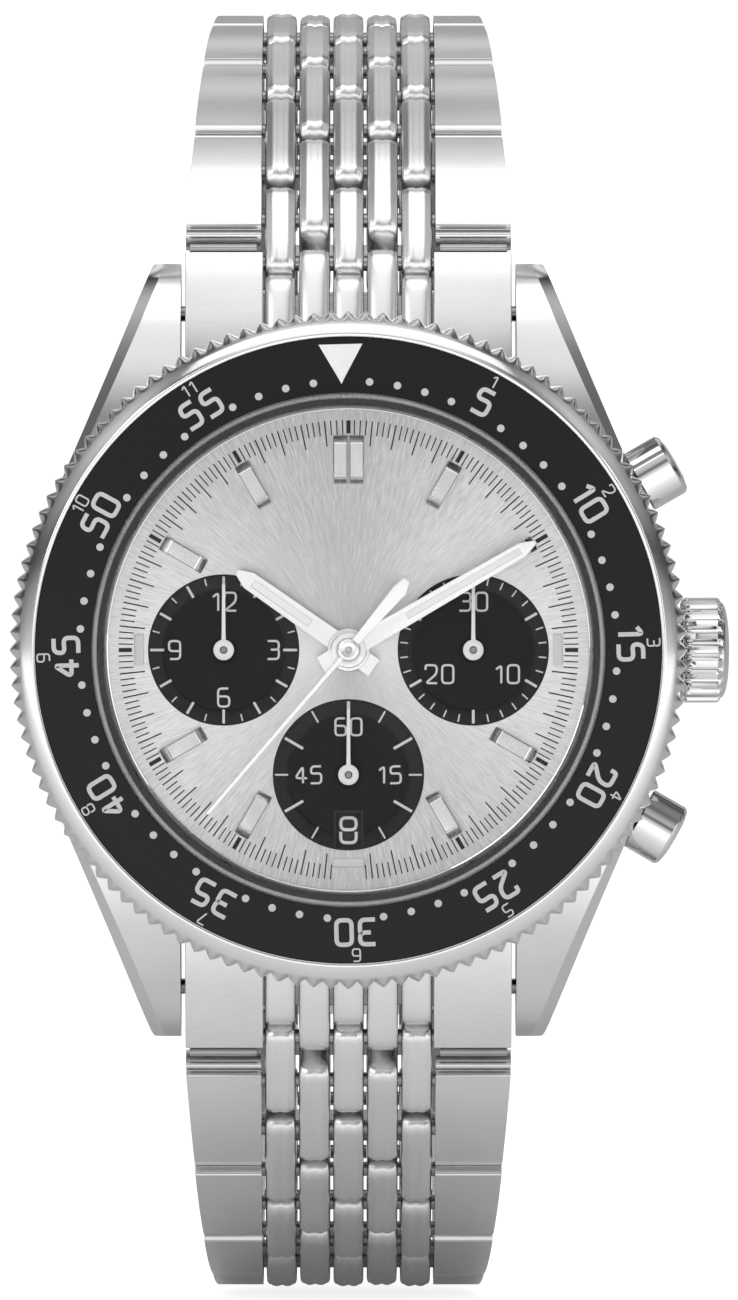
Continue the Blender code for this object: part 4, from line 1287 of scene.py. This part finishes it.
def markers():
    mesh = bmesh.new()
    for hour in (1, 2, 4, 5, 7, 8, 10, 11):
        longMarker(mesh, hour * 30)
    for hand in (-1, 1):
        longMarker(mesh, 0, hand * 0.51, 0.88)
    watchPiece("hourMarkers", mesh, [polishedMarker, brushedMarker], "head", edge=0.015,
               edgeAngle=25, sharp=25)
    mesh = bmesh.new()
    for angle in (90, 180, 270):
        low, high = (12.72, 13.28) if angle != 180 else (12.95, 13.48)
        prism(mesh, box((-0.96, 0.96), (low, high)), dial["front"] - 0.02, dial["front"] + 0.32,
              turned(angle))
    watchPiece("quarterMarkers", mesh, lume, "head", edge=0.05, sharp=30)


def calendar():
    watchPiece("dateDisc", lathed(box(dial["disc"], dial["disc levels"]), 180), blackPrint, "date_disc",
               ["date_disc"])
    mesh = bmesh.new()
    middle = -dial["window"][1]
    face = flatAt(dial["disc levels"][1])
    for day in range(1, 32):
        angle = 180 + (day - 8) * 360 / 31
        place = turned(angle) @ Matrix.Translation((0, middle, 0)) @ Matrix.Rotation(math.pi, 4, "Z")
        height, pen = (1.55, 0.19) if day < 10 else (1.05, 0.15)
        numeral(mesh, str(day), height, pen, place, face, dial["print"], 0.18)
    watchPiece("dateFigures", mesh, whitePaint, "date_disc")
    mesh = bmesh.new()
    x, up = dial["window"]
    wide, tall = dial["window size"]
    level = dial["sub level"]
    rim = 0.13
    outer = box((x - wide / 2 - rim, x + wide / 2 + rim), (up - tall / 2 - rim, up + tall / 2 + rim))
    inner = box((x - wide / 2 + 0.01, x + wide / 2 - 0.01), (up - tall / 2 + 0.01, up + tall / 2 - 0.01))
    sections = [[Vector((a, b, depth)) for a, b in ring] for ring, depth in
                ((outer, level - 0.02), (outer, level + 0.015), (inner, level + 0.005), (inner, level - 0.25),
                 (outer, level - 0.02))]
    loft(mesh, sections, capped=False)
    watchPiece("dateWindowFrame", mesh, blackPrint, "head", sharp=20)


polishedMarker = steelMaterial("polished markers", 0.78, 0.86, 0.12, 0.2, evenly(900), 0)
brushedMarker = steelMaterial("brushed markers", 0.50, 0.74, 0.3, 0.45, evenly(12000), 0.3)
dialPlate()
for name, centre in dial["sub places"].items():
    subDial(name, centre)
subDialMarks()
minuteTrack()
markers()
calendar()
print("dial made")


# Hands

hands = {
    "hour": {"level": 9.82, "angle": 305.0, "length": 8.5, "half": 0.62, "tip": 0.56, "tail": 1.95,
             "hub": 1.34,
             "slot": (2.9, 7.2), "pipe": (0.86, 1.08)},
    "minute": {"level": 10.44, "angle": 60.0, "length": 13.4, "half": 0.60, "tip": 0.46, "tail": 1.95,
               "hub": 1.11,
               "slot": (4.2, 12.3), "pipe": (0.51, 0.73)},
    "chrono": {"level": 11.06, "angle": 220.7, "length": 13.5, "tail": 5.7, "hub": 0.68},
    "thickness": 0.2,
    "counter length": 4.1,
    "counter level": 9.2,
}


def hub(mesh, radius, low, high, place=None, look=0, dome=0.03):
    profile = [(0, low), (radius - 0.03, low), (radius, low + 0.03), (radius, high - 0.04),
               (radius - 0.05, high), (radius * 0.72, high + dome),
               (radius * 0.66, high + dome * 0.4), (0, high + dome * 0.4)]
    lathe(mesh, profile, 64, closed=False, place=place, look=look)


def batonHand(name, node, facts):
    place = turned(facts["angle"])
    low = facts["level"]
    high = low + hands["thickness"]
    half = facts["half"]
    tip = facts["tip"]
    length = facts["length"]
    outline = [(-half, -facts["tail"]), (half, -facts["tail"]), (half, 1.0), (tip, length - 0.95),
               (tip * 0.3, length - 0.06), (0, length),
               (-tip * 0.3, length - 0.06), (-tip, length - 0.95), (-half, 1.0)]
    blade = extruded(outline, low, high)
    start, end = facts["slot"]
    slotHalf = tip * 0.42
    cutter = extruded(box((-slotHalf, slotHalf), (start, end)), low - 1, high + 1)
    blade = fusedPiece(blade, [(cutter, "DIFFERENCE")])
    hub(blade, facts["hub"], low + 0.01, high + 0.02, dome=0.02)
    bmesh.ops.transform(blade, matrix=place, verts=blade.verts)
    watchPiece(name, blade, handSteel, node, [node], edge=0.045, sharp=30)
    paint = bmesh.new()
    prism(paint, box((-slotHalf + 0.005, slotHalf - 0.005), (start + 0.005, end - 0.005)), low + 0.03,
          high - 0.03, place)
    watchPiece(f"{name}Paint", paint, whitePaint, node, edge=0.02)
    bore, reach = facts["pipe"]
    pipe = lathed([(bore, 8.4), (reach, 8.4), (reach, low), (bore, low)], 48)
    watchPiece(f"{name}Pipe", pipe, handSteel, node)


def chronoHand():
    facts = hands["chrono"]
    place = turned(facts["angle"])
    low = facts["level"]
    high = low + hands["thickness"]
    mesh = bmesh.new()
    tail = facts["tail"]
    outline = [(-0.13, 0), (-0.1, facts["length"] - 0.2), (0, facts["length"]), (0.1, facts["length"] - 0.2),
               (0.13, 0)]
    prism(mesh, outline, low + 0.04, high - 0.04, place)
    outline = [(-0.2, 0), (0.2, 0), (0.44, -tail + 0.9), (0.3, -tail + 0.05), (-0.1, -tail),
               (-0.44, -tail + 0.75)]
    prism(mesh, outline, low + 0.02, high, place)
    hub(mesh, facts["hub"], low, high + 0.06, place)
    lathe(mesh, [(0, 6.1), (0.39, 6.1), (0.39, low), (0, low)], 32)
    watchPiece("chronoHand", mesh, handSteel, "chrono_seconds_hand", ["chrono_seconds_hand"],
               edge=0.035, sharp=30)
    mesh = bmesh.new()
    hub(mesh, 0.24, high + 0.03, high + 0.1)
    watchPiece("chronoPin", mesh, nickel, "chrono_seconds_hand")


def counterHand(name, node, centre):
    low = hands["counter level"]
    high = low + 0.14
    mesh = bmesh.new()
    place = Matrix.Translation((*centre, 0))
    length = hands["counter length"]
    outline = [(-0.15, 0), (-0.12, 1.2), (-0.1, length), (0.1, length), (0.12, 1.2), (0.15, 0)]
    prism(mesh, outline, low, high, place)
    hub(mesh, 0.64, low - 0.02, high + 0.03, place)
    lathe(mesh, [(0, 6.9), (0.24, 6.9), (0.24, low), (0, low)], 24, place=place)
    watchPiece(name, mesh, counterPaint, node, [node], edge=0.02, sharp=30)
    mesh = bmesh.new()
    hub(mesh, 0.25, high + 0.02, high + 0.07, place)
    watchPiece(f"{name}Pin", mesh, darkPin, node)


darkPin = steelMaterial("dark pin", 0.16, 0.3, 0.2, 0.3, evenly(4000), 0)
counterPaint = speckledMaterial("counter hand paint", 0.78, 0.88, 0.3, size=9000, bump=0.05)
batonHand("hourHand", "hour_hand", hands["hour"])
batonHand("minuteHand", "minute_hand", hands["minute"])
chronoHand()
counterHand("hourCounterHand", "hour_counter_hand", dial["sub places"]["left"])
counterHand("minuteCounterHand", "minute_counter_hand", dial["sub places"]["right"])
counterHand("smallSecondsHand", "small_seconds_hand", dial["sub places"]["bottom"])
print("hands made")


# Case back and movement

movement = {
    "rotor back": 2.4,
    "rotor front": 3.5,
    "rotor radius": 14.6,
    "bridge back": 3.9,
    "bridge front": 4.7,
    "bridge radius": 15.6,
    "balance": (6.5, -8.5),
    "barrel": (-6.5, 8.0),
    "screws": ((-11.5, -6.0), (11.8, 4.5), (0, 12.6), (-12.4, 5.5), (2.2, -12.6), (5.0, 6.5)),
    "jewels": ((3.8, 3.2), (-3.0, -4.0), (-1.8, 6.2), (8.6, -1.2), (-8.0, -1.0)),
}


# A slotted screw seen from behind, sunk flush in its plate
def screwHead(mesh, x, up, radius, back):
    turn = math.radians(40 * (x + up))
    place = Matrix.Translation((x, up, 0)) @ Matrix.Rotation(turn, 4, "Z")
    profile = [(0, back + 0.35), (radius, back + 0.35), (radius, back + 0.05), (radius - 0.06, back),
               (0, back)]
    slot = extruded(box((-radius * 1.2, radius * 1.2), (-0.11, 0.11)), back - 0.2, back + 0.14, place)
    cutBody = fusedPiece(lathed(profile, 28, place=place), [(slot, "DIFFERENCE")])
    data = bpy.data.meshes.new("screw")
    cutBody.to_mesh(data)
    cutBody.free()
    mesh.from_mesh(data)
    bpy.data.meshes.remove(data)


def caseBack():
    ring = lathed(
        [(13.3, 0.08), (13.38, 0), (14.0, 0), (14.1, 0.1), (16.2, 0.1), (16.3, 0), (17.08, 0), (17.2, 0.12),
         (17.2, 1.0), (16.4, 1.0), (16.4, 3.0), (15.3, 3.0), (15.3, 2.0), (12.4, 2.0), (12.4, 1.5),
         (13.3, 1.5)], 180)
    notches = []
    for step in range(6):
        notch = extruded(box((-0.9, 0.9), (16.35, 18)), -0.5, 0.55, turned(step * 60 + 30))
        notches.append((notch, "DIFFERENCE"))
    body = fusedPiece(ring, notches)
    watchPiece("caseBackRing", body, satinSteel, "head", ["case_back"], edge=0.05, sharp=30)
    pane = lathed([(0, 0), (12.9, 0), (13.0, 0.1), (13.0, 1.2), (0, 1.2)], 160)
    watchPiece("caseBackPane", pane, clearCrystal, "head", ["case_back_crystal"], sharp=30)


def bridge():
    back = movement["bridge back"]
    plate = cylinder(movement["bridge radius"], back, movement["bridge front"], 160)
    tools = [(cylinder(4.9, 2, 8, 64, Matrix.Translation((*movement["balance"], 0))), "DIFFERENCE"),
             (cylinder(0.9, 2, 8, 32, Matrix.Translation((*movement["barrel"], 0))), "DIFFERENCE")]
    for x, up in movement["screws"] + movement["jewels"]:
        tools.append((cylinder(0.85, 2, back + 0.3, 28, Matrix.Translation((x, up, 0))), "DIFFERENCE"))
    for start in (20, 200):
        path = arc(10.6, start, start + 120, 30) + arc(10.4, start + 120, start, 30)
        tools.append((extruded(path, 2, back + 0.12), "DIFFERENCE"))
    tools.append((lathed([(0, 2.3), (1.1, 2.3), (1.18, 2.4), (1.18, 4.4), (0, 4.4)], 48), "UNION"))
    body = fusedPiece(plate, tools)
    watchPiece("movementBridge", body, striped, "head", ["movement_bridge"], edge=0.05,
               sharp=30)
    screws = bmesh.new()
    for x, up in movement["screws"]:
        screwHead(screws, x, up, 0.78, back + 0.02)
    watchPiece("bridgeScrews", screws, polishedSteel, "head", sharp=30)
    for name, profile, finish, slot in (
            ("jewels", [(0.14, 4.14), (0.2, 4.05), (0.5, 4.0), (0.55, 4.06), (0.55, 4.3), (0.14, 4.3)],
             ruby, "movement"),
            ("jewelSettings",
             [(0.55, 4.02), (0.62, 3.96), (0.82, 3.96), (0.84, 4.0), (0.84, 4.3), (0.55, 4.3)],
             gilt, "brass")):
        rings = bmesh.new()
        for x, up in movement["jewels"]:
            lathe(rings, profile, 28, place=Matrix.Translation((x, up, 0)))
        watchPiece(name, rings, finish, "head", sharp=30)


def rotor():
    radius = movement["rotor radius"]
    back = movement["rotor back"]
    front = movement["rotor front"]
    web = extruded(arc(radius - 0.05, 91, 269, 72), front - 0.5, front)
    tools = []
    for start in (100, 155, 210):
        window = arc(10.4, start, start + 46, 18) + arc(5.6, start + 43, start + 3, 14)
        tools.append((extruded(window, 0, 9), "DIFFERENCE"))
    boss = lathed([(0, front - 0.8), (2.5, front - 0.8), (2.6, front - 0.7), (2.6, front), (0, front)], 72)
    tools.append((boss, "UNION"))
    tools.append((cylinder(1.3, 0, 9, 48), "DIFFERENCE"))
    body = fusedPiece(web, tools)
    watchPiece("rotorWeb", body, striped, "rotor", ["rotor"], edge=0.06, sharp=30)
    rim = extruded(arc(radius, 90.5, 269.5, 90) + arc(radius - 2.3, 269.5, 90.5, 72), back, front - 0.1)
    watchPiece("rotorRim", rim, gilt, "rotor", edge=0.12, sharp=30)
    bearing = bmesh.new()
    for inner, outer, drop in ((1.32, 1.7, 0.95), (2.1, 2.4, 0.92)):
        lathe(bearing, box((inner, outer), (front - drop, front - 0.78)), 64)
    for step in range(8):
        x, up = arc(1.9, step * 45, 360, 1)[0]
        place = Matrix.Translation((x, up, front - 0.84))
        bmesh.ops.create_icosphere(bearing, subdivisions=2, radius=0.17, matrix=place)
    watchPiece("rotorBearing", bearing, polishedSteel, "rotor", sharp=40)


# A CAD piece whose shape is right only gets its finish
def repaint(node, material):
    piece = frame["nodes"][node]
    piece.data.materials.clear()
    piece.data.materials.append(material)


def rubyMaterial():
    material, tree, shader = baseMaterial("ruby", (0.35, 0.01, 0.06), 0.0, 0.08, Coat_Weight=0.6)
    speck = placeGroup(tree, grain, Stretch=evenly(5000), Scale=1.0)
    tinted(tree, speck.outputs["Streaks"], (0.28, 0.008, 0.05), (0.42, 0.015, 0.08),
           shader.inputs["Base Color"])
    tree.links.new(spanned(tree, speck.outputs["Streaks"], 0.05, 0.12), shader.inputs["Roughness"])
    return material


ruby = rubyMaterial()
caseBack()
bridge()
rotor()
repaint("main_plate", nickel)
repaint("mainspring_barrel", gilt)
repaint("balance_wheel", gilt)
repaint("setting_lever", nickel)
for node in ("clasp_inner_blade", "clasp_outer_blade", "clasp_cover", "clasp_button_right",
             "clasp_button_left"):
    repaint(node, satinSteel if "cover" in node else polishedRing)
print("movement made")


# Camera, light and floor

view = {
    "distance": 0.90,           # from the bezel to the lens
    "frame height": 0.08034,    # seen at the bezel
    "sensor": 36.0,
    "shift": 0.0158,
    "bezel depth": 0.0132,      # the bezel's front, ahead of the case back
}


def makeCamera():
    data = bpy.data.cameras.new("camera")
    data.sensor_fit = "VERTICAL"
    data.sensor_height = view["sensor"]
    data.lens = view["sensor"] * view["distance"] / view["frame height"]
    data.shift_x = view["shift"]
    data.clip_start = 0.01
    data.clip_end = 20
    camera = bpy.data.objects.new("camera", data)
    bpy.context.scene.collection.objects.link(camera)
    camera.location = (0, -view["bezel depth"] - view["distance"], 0)
    camera.rotation_euler = (math.radians(90), 0, 0)
    bpy.context.scene.camera = camera


# A soft light aimed at the watch
def softbox(name, place, size, power):
    data = bpy.data.lights.new(name, "AREA")
    data.shape = "RECTANGLE"
    data.size = size[0]
    data.size_y = size[1]
    data.energy = power
    lamp = bpy.data.objects.new(name, data)
    bpy.context.scene.collection.objects.link(lamp)
    lamp.location = place
    lamp.rotation_euler = (-Vector(place)).to_track_quat("-Z", "Y").to_euler()


room = {
    "sweep start": 2.4,         # where the floor begins to curve up
    "sweep radius": 0.8,
    "floor glow fade": (-0.10, 0.01),   # painted light: the floor's glow fades to grey between these depths
    "strength": 1.28,
    # Tones from straight down to straight up, from the lens to the wall, and from left to right
    "by height": ((0.0, 0.30), (0.28, 0.6), (0.38, 0.14), (0.44, 0.5), (0.50, 1.0), (0.57, 0.6),
                  (0.64, 0.16), (0.74, 0.6), (0.82, 0.95), (1.0, 0.95)),
    "by depth": ((0.0, 1.0), (0.34, 1.0), (0.5, 0.75), (0.66, 0.35), (0.72, 0.85), (0.82, 0.35),
                 (0.86, 0.85), (0.94, 0.35), (1.0, 0.3)),
    "by side": ((0.0, 0.5), (0.16, 0.6), (0.28, 0.15), (0.38, 0.9), (0.5, 1.0), (0.62, 0.9),
                (0.72, 0.15), (0.84, 0.6), (1.0, 0.5)),
    "softboxes": {              # place, size, power
        "key": ((-0.55, -0.75, 0.45), (0.35, 0.6), 1.7),
        "fill": ((0.65, -0.6, 0.1), (0.2, 0.8), 0.8),
        "top": ((0, -0.25, 0.8), (0.9, 0.35), 1.15),
    },
}


# A pale sweep: floor, rounded corner and wall in one sheet
def makeFloor():
    level = cadLow.z - 0.0003
    mesh = bmesh.new()
    start = room["sweep start"]
    radius = room["sweep radius"]
    profile = [(-start - radius, level), (start, level)]
    for step in range(1, 13):
        angle = math.radians(90 * step / 12)
        profile.append((start + radius * math.sin(angle), level + radius * (1 - math.cos(angle))))
    profile.append((start + radius, level + start))
    rows = [[mesh.verts.new((x, y, z)) for y, z in profile] for x in (-start - radius, start + radius)]
    strip(mesh, rows[0], rows[1], False, 0)
    data = bpy.data.meshes.new("sweep")
    mesh.to_mesh(data)
    mesh.free()
    data.shade_smooth()
    material, tree, shader = baseMaterial("pale sweep", 0.60, 0.0, 0.8)
    clouds = placeGroup(tree, grain, Stretch=evenly(40), Scale=1.0)
    tinted(tree, clouds.outputs["Streaks"], 0.58, 0.62, shader.inputs["Base Color"])
    place = addNode(tree, "ShaderNodeTexCoord")
    parts = addNode(tree, "ShaderNodeSeparateXYZ", {0: place.outputs["Object"]})
    floorGlowByDepth = spanned(tree, parts.outputs["Y"], 1.0, 0.10, *room["floor glow fade"])
    seen = addNode(tree,
                   "ShaderNodeLightPath")         # painted light: the floor glows, white to the lens, and in the steel's reflections bright in front of the watch, fading to grey beneath and behind it
    shown = addNode(tree, "ShaderNodeMix", data_type="FLOAT")
    for number, source in ((0, seen.outputs["Is Camera Ray"]), (2, floorGlowByDepth)):
        tree.links.new(source, shown.inputs[number])
    shown.inputs[3].default_value = 0.8
    tree.links.new(shown.outputs[0], shader.inputs["Emission Color"])
    shader.inputs["Emission Strength"].default_value = 1.0
    data.materials.append(material)
    sweep = bpy.data.objects.new("sweep", data)
    bpy.context.scene.collection.objects.link(sweep)


# A grey room whose tone follows the direction, with a bright patch behind the lens
def makeWorld():
    world = bpy.data.worlds.new("studio")
    bpy.context.scene.world = world
    world.use_nodes = True
    tree = world.node_tree
    background = tree.nodes["Background"]
    place = addNode(tree, "ShaderNodeTexCoord")
    parts = addNode(tree, "ShaderNodeSeparateXYZ", {0: place.outputs["Generated"]})

    def ramp(source, tones):
        node = addNode(tree, "ShaderNodeValToRGB")
        node.color_ramp.interpolation = "EASE"
        while len(node.color_ramp.elements) < len(tones):
            node.color_ramp.elements.new(0.5)
        for element, (spot, tone) in zip(node.color_ramp.elements, tones):
            element.position = spot
            element.color = (tone, tone, tone, 1)
        tree.links.new(spanned(tree, source, 0.0, 1.0, -1.0, 1.0), node.inputs["Fac"])
        return node.outputs["Color"]

    tone = ramp(parts.outputs["Z"], room["by height"])
    for other in (ramp(parts.outputs["X"], room["by side"]), ramp(parts.outputs["Y"], room["by depth"])):
        both = addNode(tree, "ShaderNodeMix", data_type="RGBA", blend_type="MULTIPLY")
        both.inputs[0].default_value = 1.0
        tree.links.new(tone, both.inputs[6])
        tree.links.new(other, both.inputs[7])
        tone = both.outputs[2]
    tree.links.new(tone, background.inputs["Color"])
    background.inputs["Strength"].default_value = room["strength"]


bpy.context.scene.view_settings.view_transform = "Standard"
makeCamera()
makeFloor()
makeWorld()
for name, (place, size, power) in room["softboxes"].items():
    softbox(name, place, size, power)
print("stage made")
